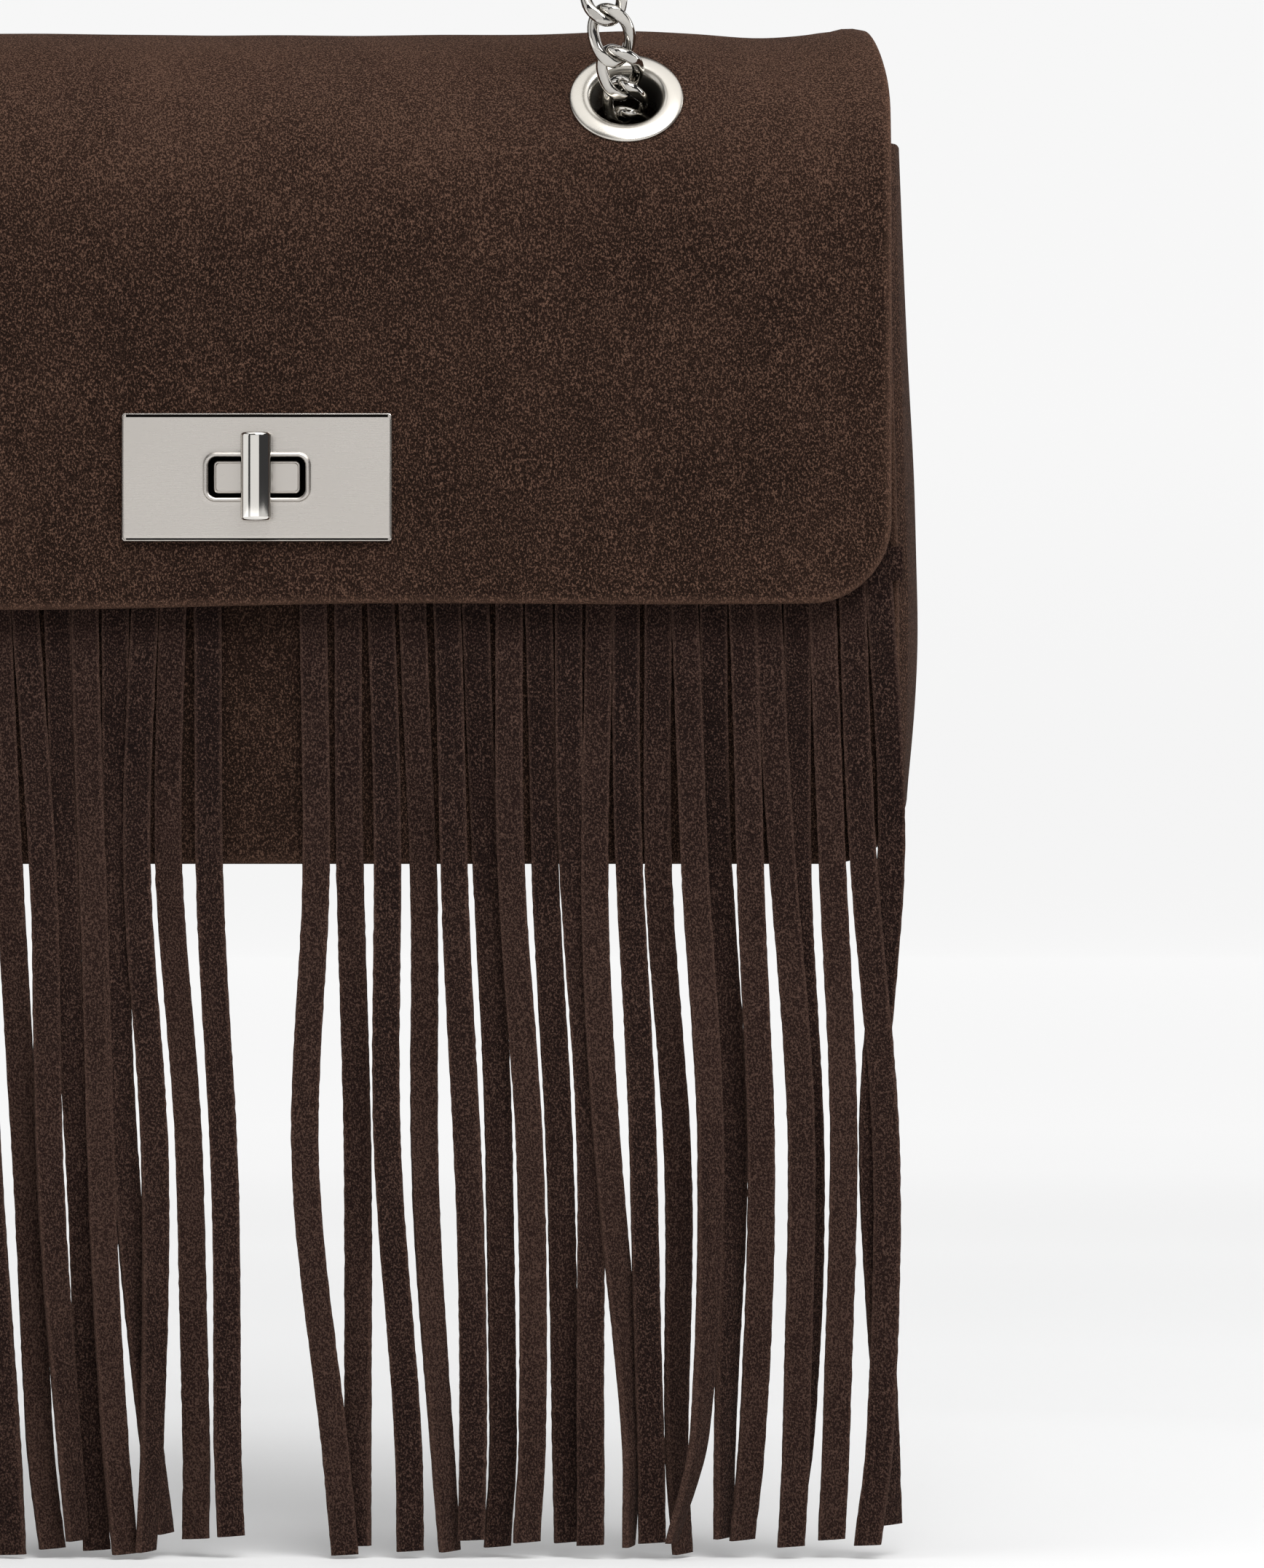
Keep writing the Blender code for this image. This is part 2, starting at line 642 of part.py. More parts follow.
def make_chain_tab(parent, name, side):
    """A folded suede tab inside the gusset: two legs sewn flat, and the fold that the chain loops."""
    leg_top = TAB_Z - 0.002
    x_in, x_out = TAB_X - TAB_THICKNESS / 2, TAB_X + TAB_THICKNESS / 2
    half = TAB_WIDTH / 2
    legs = lofted(
        [
            [(side * x, y, z) for x, y in ((x_in, -half), (x_out, -half), (x_out, half), (x_in, half))]
            for z in (TAB_BOTTOM, leg_top - 0.0046)
        ]
    )
    item = mesh_object(f"chain_tab_{name}", legs, "suede", parent, True)
    neck = TAB_NECK / 2
    strap = lofted(
        [
            [(side * x, y, z) for x, y in ((x_in, -neck), (x_out, -neck), (x_out, neck), (x_in, neck))]
            for z in (leg_top - 0.0060, TAB_Z - TAB_LOOP * 0.75)
        ]
    )
    combine(item, cutter(f"chain_tab_{name}_neck", strap, parent), "UNION")
    fold = slab(circle(TAB_LOOP, side * TAB_X, TAB_Z, 16), -neck, neck)
    combine(item, cutter(f"chain_tab_{name}_fold", fold, parent), "UNION")
    hole = slab(circle(TAB_LOOP_HOLE, side * TAB_X, TAB_Z, 16), -half, half)
    combine(item, cutter(f"chain_tab_{name}_hole", hole, parent))


# The right half of the chain's route, from its tab, through the eyelet, to the top bend.
CHAIN_ROUTE = [
    (0.1138, 0.0000, -0.0330),
    (0.1055, -0.0004, -0.0330),
    (0.0960, -0.0048, -0.0332),
    (0.0860, -0.0108, -0.0308),
    (0.0785, -0.0163, -0.0268),
    (0.0738, -0.0216, -0.0229),
    (0.0725, -0.0262, -0.0194),
    (0.0724, -0.0305, -0.0162),
    (0.0722, -0.0344, -0.0132),
    (0.0717, -0.0386, -0.0093),
    (0.0708, -0.0416, -0.0040),
    (0.0696, -0.0425, 0.0020),
    (0.0684, -0.0420, 0.0085),
    (0.0649, -0.0391, 0.0285),
    (0.0597, -0.0345, 0.0585),
    (0.0527, -0.0284, 0.0985),
    (0.0457, -0.0222, 0.1385),
    (0.0387, -0.0160, 0.1785),
    (0.0345, -0.0122, 0.2030),
]
CHAIN_BEND = 0.032


def chain_route():
    """The whole route in order: the right half, the round top bend, then the left half."""
    bend_z = HANG_HEIGHT + CHAIN_DIAMETER / 2 - CHAIN_BEND
    right = [Vector(point) for point in CHAIN_ROUTE]
    start = right[-1]
    bend = []
    for i in range(1, 6):
        angle = math.radians(10 + 80 * i / 5)
        x = CHAIN_BEND * math.cos(angle)
        z = bend_z + CHAIN_BEND * math.sin(angle)
        y = HANG_Y + (start.y - HANG_Y) * (1 - i / 5) ** 2 * 0.6
        bend.append(Vector((x, y, z)))
    half = right + bend
    return half + [Vector((-p.x, p.y, p.z)) for p in reversed(half[:-1])]


def smooth_curve(points, samples):
    """Evenly spaced points on one smooth curve through the given points."""
    fine = []
    padded = [2 * points[0] - points[1], *points, 2 * points[-1] - points[-2]]
    for a, b, c, d in zip(padded, padded[1:], padded[2:], padded[3:]):
        for step in range(16):
            t = step / 16
            square = (2 * a - 5 * b + 4 * c - d) * t**2
            cube = (3 * b - a - 3 * c + d) * t**3
            fine.append(0.5 * (2 * b + (c - a) * t + square + cube))
    fine.append(points[-1])
    reached = [0.0]
    for a, b in zip(fine, fine[1:]):
        reached.append(reached[-1] + (b - a).length)
    out, k = [], 0
    for i in range(samples):
        want = reached[-1] * i / (samples - 1)
        while k < len(fine) - 2 and reached[k + 1] < want:
            k += 1
        t = (want - reached[k]) / (reached[k + 1] - reached[k])
        out.append(fine[k].lerp(fine[k + 1], min(t, 1.0)))
    return out


def make_chain_strap(parent):
    """The chain's envelope as one round tube from tab to tab."""
    curve = bpy.data.curves.new("chain_strap", "CURVE")
    curve.dimensions = "3D"
    curve.bevel_depth = CHAIN_DIAMETER / 2
    curve.bevel_resolution = 2
    curve.use_fill_caps = True
    points = smooth_curve(chain_route(), CHAIN_POINTS)
    spline = curve.splines.new("POLY")
    spline.points.add(len(points) - 1)
    for target, point in zip(spline.points, points):
        target.co = (*point, 1.0)
    spline.use_smooth = True
    place(bpy.data.objects.new("chain_strap", curve), "polished_nickel", parent)


def main():
    clear_scene()
    bag = bpy.data.objects.new("bag_hanging", None)
    bpy.context.scene.collection.objects.link(bag)
    bag.location = (0, -HANG_Y, -HANG_HEIGHT)
    lock_cuts = flap_lock_cutters(bag)
    eyelet_cuts = [eyelet_cutter(side, name, bag) for name, side in SIDES]
    make_back_and_flap(bag, lock_cuts + eyelet_cuts)
    make_flap_stiffener(bag, lock_cuts + eyelet_cuts)
    make_flap_lining(bag, lock_cuts + eyelet_cuts)
    make_front_panel(bag)
    make_gusset(bag)
    make_base_board(bag)
    make_body_lining(bag)
    make_lock_plate(bag)
    make_lock_back_plate(bag)
    make_lock_screws(bag)
    make_lock_base(bag)
    make_lock_base_washer(bag)
    stem_end = make_lock_detent(bag)
    make_lock_knob(bag, stem_end)
    for name, side in SIDES:
        make_fringe(bag, f"fringe_{name}", side)
        make_eyelet(bag, name, side)
        make_chain_tab(bag, name, side)
    make_chain_strap(bag)
    bpy.context.view_layer.update()


main()
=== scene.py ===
"""The fringed suede bag: looks, stage and light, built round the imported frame."""

import math

import bmesh
import bpy
from mathutils import Matrix, Vector, noise


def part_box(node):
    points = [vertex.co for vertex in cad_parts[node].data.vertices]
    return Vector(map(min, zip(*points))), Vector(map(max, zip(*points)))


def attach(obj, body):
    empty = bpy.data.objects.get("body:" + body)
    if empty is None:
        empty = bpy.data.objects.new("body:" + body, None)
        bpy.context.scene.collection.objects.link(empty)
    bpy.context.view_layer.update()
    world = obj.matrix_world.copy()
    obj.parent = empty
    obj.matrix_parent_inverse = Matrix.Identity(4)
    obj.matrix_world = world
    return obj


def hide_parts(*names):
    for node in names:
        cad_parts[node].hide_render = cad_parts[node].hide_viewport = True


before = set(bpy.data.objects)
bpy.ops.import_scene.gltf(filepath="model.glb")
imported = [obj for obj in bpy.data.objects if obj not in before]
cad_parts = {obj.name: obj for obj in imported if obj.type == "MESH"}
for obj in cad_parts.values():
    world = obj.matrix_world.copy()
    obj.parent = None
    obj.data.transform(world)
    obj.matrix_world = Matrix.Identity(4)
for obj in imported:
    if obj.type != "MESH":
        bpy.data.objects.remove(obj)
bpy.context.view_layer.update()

bl_info = {
    "name": "Fringed Suede Bag",
    "version": (1, 0, 0),
    "blender": (4, 5, 0),
    "location": "View3D > Sidebar > Suede Bag",
    "description": "Builds a fringed suede flap bag with a turn lock, eyelets and a curb-chain strap",
    "category": "Add Mesh",
}

BAG_BODY = "bag"
TURN_BODY = "turn_bar"
MM = 0.001

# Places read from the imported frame.
FLAP_LOW, FLAP_HIGH = (Vector(c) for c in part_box("back_and_flap"))
FRONT_LOW, FRONT_HIGH = (Vector(c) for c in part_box("front_panel"))
FRINGE_LOW, FRINGE_HIGH = (Vector(c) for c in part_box("fringe_right"))
PLATE_LOW, PLATE_HIGH = (Vector(c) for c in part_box("lock_plate"))
GUSSET_LOW, GUSSET_HIGH = (Vector(c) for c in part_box("gusset"))
BASE_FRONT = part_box("lock_base")[0][1]
KNOB_LOW, KNOB_HIGH = (Vector(c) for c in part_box("lock_knob"))
EYELET_LOW, EYELET_HIGH = (Vector(c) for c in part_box("eyelet_right"))

CROWN_Z = FLAP_HIGH.z
CROWN_RADIUS = (FLAP_HIGH.y - FLAP_LOW.y) / 2
MIDDLE_Y = (FLAP_HIGH.y + FLAP_LOW.y) / 2
BAG_HEIGHT = FLAP_HIGH.z - FLAP_LOW.z
LOCK_Z = (PLATE_LOW.z + PLATE_HIGH.z) / 2


# ---------------------------------------------------------------- sizes and colours


class BagSizes(bpy.types.PropertyGroup):
    """Sizes of the suede parts and the fittings."""

    flap_half_width: bpy.props.FloatProperty(
        name="Flap half width", description="Half the flap's width", default=0.1246, unit="LENGTH"
    )
    flap_drop: bpy.props.FloatProperty(
        name="Flap drop", description="From the crown to the flap's edge", default=0.1153, unit="LENGTH"
    )
    flap_corner: bpy.props.FloatProperty(
        name="Flap corner", description="Radius of the flap's lower corners", default=0.016, unit="LENGTH"
    )
    flap_thickness: bpy.props.FloatProperty(
        name="Flap suede", description="Thickness of the flap's suede", default=0.0018, unit="LENGTH"
    )
    panel_half_belly: bpy.props.FloatProperty(
        name="Belly half width", description="Half the panels' widest width", default=0.1264, unit="LENGTH"
    )
    panel_corner: bpy.props.FloatProperty(
        name="Panel corner", description="Radius of the panels' lower corners", default=0.014, unit="LENGTH"
    )
    gusset_swell: bpy.props.FloatProperty(
        name="Gusset swell", description="How far the gusset bellies out", default=0.0046, unit="LENGTH"
    )
    strip_width: bpy.props.FloatProperty(
        name="Strip width", description="Width of one fringe strip", default=0.0054, unit="LENGTH"
    )
    strip_thickness: bpy.props.FloatProperty(
        name="Strip thickness", description="Thickness of the fringe suede", default=0.0013, unit="LENGTH"
    )
    wire: bpy.props.FloatProperty(
        name="Chain wire", description="Radius of a link's wire", default=0.00118, unit="LENGTH"
    )
    link_pitch: bpy.props.FloatProperty(
        name="Link pitch", description="From one link to the next", default=0.0084, unit="LENGTH"
    )


def colour_property(name, description, default):
    """A linear colour that the sidebar shows as a swatch."""
    return bpy.props.FloatVectorProperty(
        name=name, description=description, default=default, subtype="COLOR", size=3, min=0, max=1
    )


class BagColours(bpy.types.PropertyGroup):
    """Base colours of the finishes, as linear values."""

    suede_dark: colour_property("Suede shade", "The nap brushed away from light", (0.0090, 0.0042, 0.0027))
    suede_mid: colour_property("Suede", "The suede's main colour", (0.0270, 0.0132, 0.0090))
    suede_light: colour_property("Suede nap", "The nap brushed towards the light", (0.1000, 0.0545, 0.0370))
    fringe_dark: colour_property("Fringe shade", "The fringe's darker nap", (0.0070, 0.0034, 0.0029))
    fringe_mid: colour_property("Fringe", "The fringe's main colour", (0.0215, 0.0106, 0.0084))
    fringe_light: colour_property("Fringe nap", "The fringe's lighter nap", (0.0680, 0.0385, 0.0290))
    lining: colour_property("Lining", "The woven body lining", (0.107, 0.073, 0.048))
    board: colour_property("Board", "Pressed fibre board", (0.188, 0.138, 0.093))
    satin_nickel: colour_property("Satin nickel", "The lock plate", (0.478, 0.449, 0.417))
    polished_nickel: colour_property("Polished nickel", "Chain, eyelets and turn bar", (0.70, 0.675, 0.635))
    eyelet_nickel: colour_property("Eyelet nickel", "The eyelets' satin polish", (0.545, 0.515, 0.465))
    chain_nickel: colour_property("Chain nickel", "The chain's dark polish", (0.46, 0.440, 0.410))
    # The gap shade is painted shade for the depths of the lock's gap.
    gap_shade: colour_property("Gap shade", "The tarnish deep in the lock's gap", (0.012, 0.011, 0.010))
    steel: colour_property("Plated steel", "Hidden fittings", (0.31, 0.31, 0.32))
    backdrop: colour_property("Backdrop", "The studio sweep", (0.67, 0.67, 0.67))


def sizes():
    """The sizes as they are set now."""
    return bpy.context.scene.bag_sizes


def colours():
    """The colours as they are set now."""
    return bpy.context.scene.bag_colours


# ---------------------------------------------------------------- shader maths


class Wire:
    """A shader socket that takes part in Python expressions."""

    def __init__(self, maker, socket):
        self.maker = maker
        self.socket = socket

    def _math(self, operation, *values):
        return self.maker.node("ShaderNodeMath", {"operation": operation}, dict(enumerate(values)))

    def __add__(self, other):
        return self._math("ADD", self, other)

    __radd__ = __add__

    def __sub__(self, other):
        return self._math("SUBTRACT", self, other)

    def __rsub__(self, other):
        return self._math("SUBTRACT", other, self)

    def __mul__(self, other):
        return self._math("MULTIPLY", self, other)

    __rmul__ = __mul__


def full(colour):
    """A colour with its alpha."""
    return (*colour, 1.0)


class Maker:
    """Builds one material's nodes."""

    def __init__(self, name, slot_name):
        self.material = bpy.data.materials.new(name)
        self.material.use_nodes = True
        self.tree = self.material.node_tree
        self.shader = self.tree.nodes["Principled BSDF"]
        self.slot_name = slot_name

    def node(self, kind, settings, inputs, output=0):
        """Adds a node, sets it up, feeds its sockets and hands back one of its outputs."""
        made = self.tree.nodes.new(kind)
        for key, value in settings.items():
            if key == "stops":
                self._stops(made.color_ramp, value)
            else:
                setattr(made, key, value)
        for key, value in inputs.items():
            self.feed(made.inputs[key], value)
        return Wire(self, made.outputs[output])

    def _stops(self, ramp, stops):
        while len(ramp.elements) < len(stops):
            ramp.elements.new(0.5)
        for element, (position, value) in zip(ramp.elements, stops):
            element.position = position
            element.color = full(value)

    def feed(self, socket, value):
        if isinstance(value, Wire):
            self.tree.links.new(value.socket, socket)
        else:
            socket.default_value = value

    def place(self, stretch=(1, 1, 1), turn=(0, 0, 0)):
        """The bag's own coordinates, in metres, stretched and turned."""
        where = self.node("ShaderNodeTexCoord", {}, {}, "Object")
        return self.node("ShaderNodeMapping", {}, {"Vector": where, "Scale": stretch, "Rotation": turn})

    def cloud(self, where, grain, detail=2.0, roughness=0.5):
        """Noise whose blobs are about grain metres across, from 0 to 1."""
        return self.node(
            "ShaderNodeTexNoise",
            {"noise_dimensions": "3D"},
            {"Vector": where, "Scale": 0.5 / grain, "Detail": detail, "Roughness": roughness},
            "Fac",
        )

    def ramp(self, value, stops):
        """A colour ramp with these (position, colour) stops."""
        return self.node("ShaderNodeValToRGB", {"stops": stops}, {"Fac": value}, "Color")

    def steps(self, value, low, high):
        """A smooth step from 0 at low to 1 at high."""
        return self.node(
            "ShaderNodeMapRange",
            {"interpolation_type": "SMOOTHSTEP"},
            {"Value": value, "From Min": low, "From Max": high},
            "Result",
        )

    def blend(self, amount, first, second):
        """Mixes two colours."""
        return self.node("ShaderNodeMix", {"data_type": "RGBA"}, {0: amount, 6: first, 7: second}, 2)

    def reading(self, name):
        """A number carried by the mesh's points."""
        settings = {"attribute_type": "GEOMETRY", "attribute_name": name}
        return self.node("ShaderNodeAttribute", settings, {}, "Fac")

    def bump(self, height, distance, strength=1.0, after=None):
        """A bump of this height map, laid over an earlier one if there is one."""
        inputs = {"Height": height, "Distance": distance, "Strength": strength}
        if after is not None:
            inputs["Normal"] = after
        return self.node("ShaderNodeBump", {}, inputs, "Normal")

    def shade(self, **inputs):
        """Sets or links the shader's own sockets."""
        for key, value in inputs.items():
            self.feed(self.shader.inputs[key.replace("_", " ")], value)


# Depths below the crown: where the painted light on its top band ends, and where the nap starts to lighten
# and is lightest as the painted shade under the flap lifts.
CROWN_PAINTED_LIGHT_DEPTH = 0.055
SHADE_LIFT_START, SHADE_LIFT_FULL = 0.135, 0.200


def suede_material(name, slot_name, dark, mid, light, sheen, painted_shade_lift=0.0):
    """Brushed nap: mottled patches, short streaks and a fine pile, with a soft light at grazing angles."""
    m = Maker(name, slot_name)
    where = m.place()
    height = m.node("ShaderNodeSeparateXYZ", {}, {"Vector": where}, "Z")
    patches = m.cloud(where, 0.016, 3.0, 0.55)
    strokes = m.cloud(m.place((1.0, 1.0, 0.45), (0, 0.35, 0)), 0.0045, 2.0, 0.6)
    pile = m.cloud(where, 0.00019, 2.0, 0.6)
    fibres = m.cloud(m.place((1.0, 1.0, 0.55), (0, -0.5, 0)), 0.00014, 1.0, 0.5)
    grain = m.steps(pile * 0.5 + fibres * 0.5, 0.32, 0.68)
    # Painted light: the crown's top band is lightened as if lit by the top lamp.
    crown_painted_light = m.steps(height, CROWN_Z - CROWN_PAINTED_LIGHT_DEPTH, CROWN_Z)
    nap = patches * 0.28 + strokes * 0.18 + grain * grain * 0.78 + crown_painted_light * 0.17 + 0.01
    # Painted shade under the flap: the nap stays darker near the flap and lightens lower down.
    if painted_shade_lift:
        nap = nap + (1 - m.steps(height, CROWN_Z - SHADE_LIFT_FULL, CROWN_Z - SHADE_LIFT_START)) * painted_shade_lift
    tone = m.ramp(nap + m.reading("tone") * 0.09, [(0.24, dark), (0.50, mid), (0.80, light)])
    # Lighter edges: on the flap and panels a painted highlight for the nap's halo; on the fringe partly the
    # raw cut edge's own colour and partly painted highlight.
    edge = m.reading("edge")
    lit = full([min(1.0, c * 1.35) for c in light])
    tone = m.blend(edge * (0.25 + grain * 0.55), tone, lit)
    coarse = m.bump(patches * 0.5 + strokes * 0.5, 0.0010, 0.35)
    m.shade(
        Base_Color=tone,
        Roughness=1.0,
        Specular_IOR_Level=0.08,
        Sheen_Weight=sheen,
        Sheen_Roughness=0.45,
        Sheen_Tint=full([min(1.0, c * 7) for c in light]),
        Normal=m.bump(grain, 0.00045, 1.0, coarse),
    )
    return m


def cloth_material(name, slot_name, colour):
    """A plain weave of fine threads."""
    m = Maker(name, slot_name)
    threads = [
        m.node(
            "ShaderNodeTexWave",
            {"wave_type": "BANDS", "bands_direction": axis, "wave_profile": "SIN"},
            {"Vector": m.place(), "Scale": 240.0, "Distortion": 0.6, "Detail": 1.0},
            "Fac",
        )
        for axis in ("X", "Z")
    ]
    weave = threads[0] * 0.5 + threads[1] * 0.5
    dark = [c * 0.6 for c in colour]
    tone = m.ramp(weave + m.cloud(m.place(), 0.01) * 0.3, [(0.3, dark), (0.9, colour)])
    m.shade(Base_Color=tone, Roughness=0.9, Normal=m.bump(weave, 0.0002, 0.6))
    return m


def board_material(name, slot_name, colour):
    """Pressed fibre board with short fibres."""
    m = Maker(name, slot_name)
    fibre = m.cloud(m.place((1, 1, 0.3)), 0.0009, 3.0, 0.6)
    tone = m.ramp(fibre, [(0.3, [c * 0.7 for c in colour]), (0.7, colour)])
    m.shade(Base_Color=tone, Roughness=0.95, Normal=m.bump(fibre, 0.0002, 0.5))
    return m


def metal_material(name, slot_name, colour, rough, brushed, wear=0.06):
    """Plated metal: a brushed or polished face with faint smudges and fine wear."""
    m = Maker(name, slot_name)
    smudge = m.cloud(m.place(), 0.011, 2.0, 0.5)
    hair = m.cloud(m.place((0.05, 1.0, 1.0)), 0.00012, 2.0, 0.6)
    tone = m.blend(m.steps(smudge, 0.35, 0.75) * 0.25, full(colour), full([c * 0.9 for c in colour]))
    rough_map = rough + smudge * wear + hair * (0.10 * brushed)
    m.shade(
        Base_Color=tone,
        Metallic=1.0,
        Roughness=rough_map,
        Normal=m.bump(hair * brushed + smudge * 0.1, 0.00004, 0.22 * brushed + 0.03),
    )
    return m


def finish(item, maker):
    """Gives a piece its material."""
    item.data.materials.clear()
    item.data.materials.append(maker.material)


def finish_node(node, maker):
    """A better material on a CAD piece whose shape stays."""
    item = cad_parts[node]
    for place in item.material_slots:
        place.material = maker.material


def suede():
    """The body's and the flap's suede."""
    c = colours()
    return suede_material("brushed_suede", "suede", c.suede_dark, c.suede_mid, c.suede_light, 0.06)


def panel_suede_painted_shade():
    """The front panel's nap, darker all over as painted shade from the flap above, and lighter lower down
    where that painted shade lifts.
    """
    c = colours()
    mid, light = ([v * 0.80 for v in colour] for colour in (c.suede_mid, c.suede_light))
    return suede_material("panel_nap", "suede", c.suede_dark, mid, light, 0.05, 0.06)


def fringe_suede():
    """The fringe's thinner suede, lighter towards the tips, where its painted shade from the flap lifts."""
    c = colours()
    shades = (c.fringe_dark, c.fringe_mid, c.fringe_light)
    return suede_material("fringe_nap", "fringe_suede", *shades, 0.06, 0.105)


# ---------------------------------------------------------------- meshes


def new_piece(name, bm, body=BAG_BODY, angle=40):
    """Makes a smooth-shaded object of the mesh, sharp above this angle, that rides on a body."""
    bmesh.ops.recalc_face_normals(bm, faces=bm.faces)
    mesh = bpy.data.meshes.new(name)
    bm.to_mesh(mesh)
    bm.free()
    mesh.shade_smooth()
    mesh.set_sharp_from_angle(angle=math.radians(angle))
    item = bpy.data.objects.new(name, mesh)
    bpy.context.scene.collection.objects.link(item)
    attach(item, body)
    return item


def add_ring_stack(bm, loops, cyclic=False):
    """Bridges rings of equal count. A cyclic stack closes on itself, any other gets two caps."""
    rings = [[bm.verts.new(p) for p in loop] for loop in loops]
    count = len(rings[0])
    pairs = list(zip(rings, rings[1:])) + ([(rings[-1], rings[0])] if cyclic else [])
    for ring, following in pairs:
        for i in range(count):
            j = (i + 1) % count
            bm.faces.new((ring[i], ring[j], following[j], following[i]))
    if not cyclic:
        bm.faces.new(rings[0])
        bm.faces.new(rings[-1][::-1])
    return bm


def edge_round(edge, thickness):
    """How deep the skin lies at this distance from a turned edge."""
    r = thickness / 2
    b = min(max(edge, 0.0), r)
    return r - math.sqrt(max(r * r - (r - b) ** 2, 0.0))


def turned_sheet(rows, thickness, place, edge):
    """A closed sheet with round edges. rows hold (x, l) points, place(x, l, depth) puts one in space."""
    bm = bmesh.new()
    rim = bm.verts.layers.float.new("edge")
    outer, inner = [], []
    last = len(rows) - 1
    for r, row in enumerate(rows):
        outer.append([])
        inner.append([])
        for c, (x, l) in enumerate(row):
            on_rim = r in (0, last) or c in (0, len(row) - 1)
            depth = thickness / 2 if on_rim else edge_round(edge(x, l), thickness)
            top = bm.verts.new(place(x, l, depth))
            # The edge value marks where the painted highlight along the turned edge goes.
            top[rim] = 1.0 if on_rim else math.exp(-((edge(x, l) / 0.0010) ** 2))
            outer[-1].append(top)
            inner[-1].append(top if on_rim else bm.verts.new(place(x, l, thickness - depth)))
    for skin in (outer, inner):
        for a, b in zip(skin, skin[1:]):
            for i in range(len(a) - 1):
                corners = [a[i], a[i + 1], b[i + 1], b[i]]
                if skin is inner:
                    corners.reverse()
                if len(set(corners)) == 4:
                    bm.faces.new(corners)
    return bm


def spread(low, high, count, rim):
    """Values from low to high, close together near both ends and count even steps between."""
    inner_low, inner_high = low + rim[-1], high - rim[-1]
    middle = [inner_low + (inner_high - inner_low) * i / count for i in range(1, count)]
    return [low + r for r in rim] + middle + [high - r for r in reversed(rim)]


def ease(t):
    """A smooth step from 0 to 1."""
    t = min(max(t, 0.0), 1.0)
    return t * t * (3 - 2 * t)


def circle(count, radius):
    """Points (x, y) of a circle."""
    turns = (2 * math.pi * i / count for i in range(count))
    return [(radius * math.cos(a), radius * math.sin(a)) for a in turns]


RIM_STEPS = [0.0, 0.00012, 0.0003, 0.0006, 0.0010, 0.0018, 0.0032]


# ---------------------------------------------------------------- the flap and the back


BACK_LENGTH = BAG_HEIGHT - CROWN_RADIUS
CROWN_LENGTH = math.pi * CROWN_RADIUS

# The panels widen towards the belly between these depths below the crown.
BELLY_START, BELLY_RISE = 0.036, 0.089
# How far the flap is drawn in over the crown, and up to which angle from its top.
CROWN_WAIST, WAIST_ANGLE = 0.0036, 1.0
# Swells and hollows across the crown: height, place and width.
CROWN_WAVES = ((0.0011, 0.1165, 0.0055), (-0.0009, 0.0990, 0.0095), (0.0005, 0.0740, 0.0100))
# The eyelet's tilt from upright, its hole's radius, and the lock's hole: width, height and corner.
EYELET_TILT = math.radians(53.8)
EYELET_HOLE = 0.0078
SLOT_HOLE = (0.0204, 0.0094, 0.0024)


def panel_half_width(z):
    """Half the width of the panels at this height below the crown."""
    s = sizes()
    swell = s.panel_half_belly - s.flap_half_width
    return s.flap_half_width + swell * ease((-z - BELLY_START) / BELLY_RISE)


def flap_length():
    """The sheet's length from the base of the back, over the crown, to the flap's edge."""
    return BACK_LENGTH + CROWN_LENGTH + sizes().flap_drop - CROWN_RADIUS


def crown_angle(l):
    """The sheet's angle from the crown's top at this length, held at a quarter turn either way."""
    return min(max((l - BACK_LENGTH) / CROWN_RADIUS, 0.0), math.pi) - math.pi / 2


def flap_half_width(l):
    """Half the width along the sheet: drawn in over the crown, with round corners at both ends."""
    s = sizes()
    if l < BACK_LENGTH:
        half = panel_half_width(l - BAG_HEIGHT)
    else:
        half = s.flap_half_width
    angle = abs(crown_angle(l))
    if l > BACK_LENGTH - 0.02 and angle < WAIST_ANGLE:
        half -= CROWN_WAIST * math.cos(angle / WAIST_ANGLE * math.pi / 2) ** 2
    end = flap_length() - l
    for rest, radius in ((l, s.panel_corner), (end, s.flap_corner)):
        if rest < radius:
            half -= radius - math.sqrt(max(radius**2 - (radius - rest) ** 2, 0.0))
    return half


def flap_edge(x, l):
    """Distance to the nearest edge of the flat-cut sheet."""
    s = sizes()
    total = flap_length()
    radius = s.panel_corner if l < total / 2 else s.flap_corner
    half = max(flap_half_width(min(max(l, radius), total - radius)), 0.05)
    rest = min(l, total - l)
    ax, al = abs(x) - (half - radius), radius - rest
    if ax > 0 and al > 0:
        return radius - math.hypot(ax, al)
    return min(half - abs(x), rest)


def eyelet_place():
    """The eyelet's middle on the crown as (x, length along the sheet)."""
    x = (EYELET_LOW.x + EYELET_HIGH.x) / 2
    return x, BACK_LENGTH + CROWN_RADIUS * (math.pi / 2 + EYELET_TILT)


def ripple(x, l, size, seed):
    """Slow waves of about this size over the suede."""
    return noise.noise(Vector((x / size, l / size, seed)))


def flap_swell(x, l):
    """How far the worn suede stands off the ideal sheet."""
    ex, el = eyelet_place()
    around = l - el
    reach = math.hypot(abs(x) - ex, around)
    out = 0.0
    if abs(around) < 0.028:
        out += min(around**2 / (2 * CROWN_RADIUS), 0.0019) * ease(1 - (reach - 0.0115) / 0.012)
    top = max(0.0, math.cos(crown_angle(l))) if l > BACK_LENGTH - 0.02 else 0.0
    side = abs(x)
    for amount, middle, width in CROWN_WAVES:
        out += top * amount * math.exp(-(((side - middle) / width) ** 2))
    calm = 1.0 - math.exp(-((x / 0.034) ** 4) - (((l - flap_length() + 0.0247) / 0.020) ** 4))
    out += calm * (0.00055 * ripple(x, l, 0.055, 3.1) + 0.00022 * ripple(x, l, 0.018, 7.7))
    hem = flap_edge(x, l)
    out -= 0.00022 * math.exp(-(((hem - 0.0075) / 0.0016) ** 2))
    out += 0.00012 * math.exp(-(((hem - 0.0040) / 0.0020) ** 2))
    return out


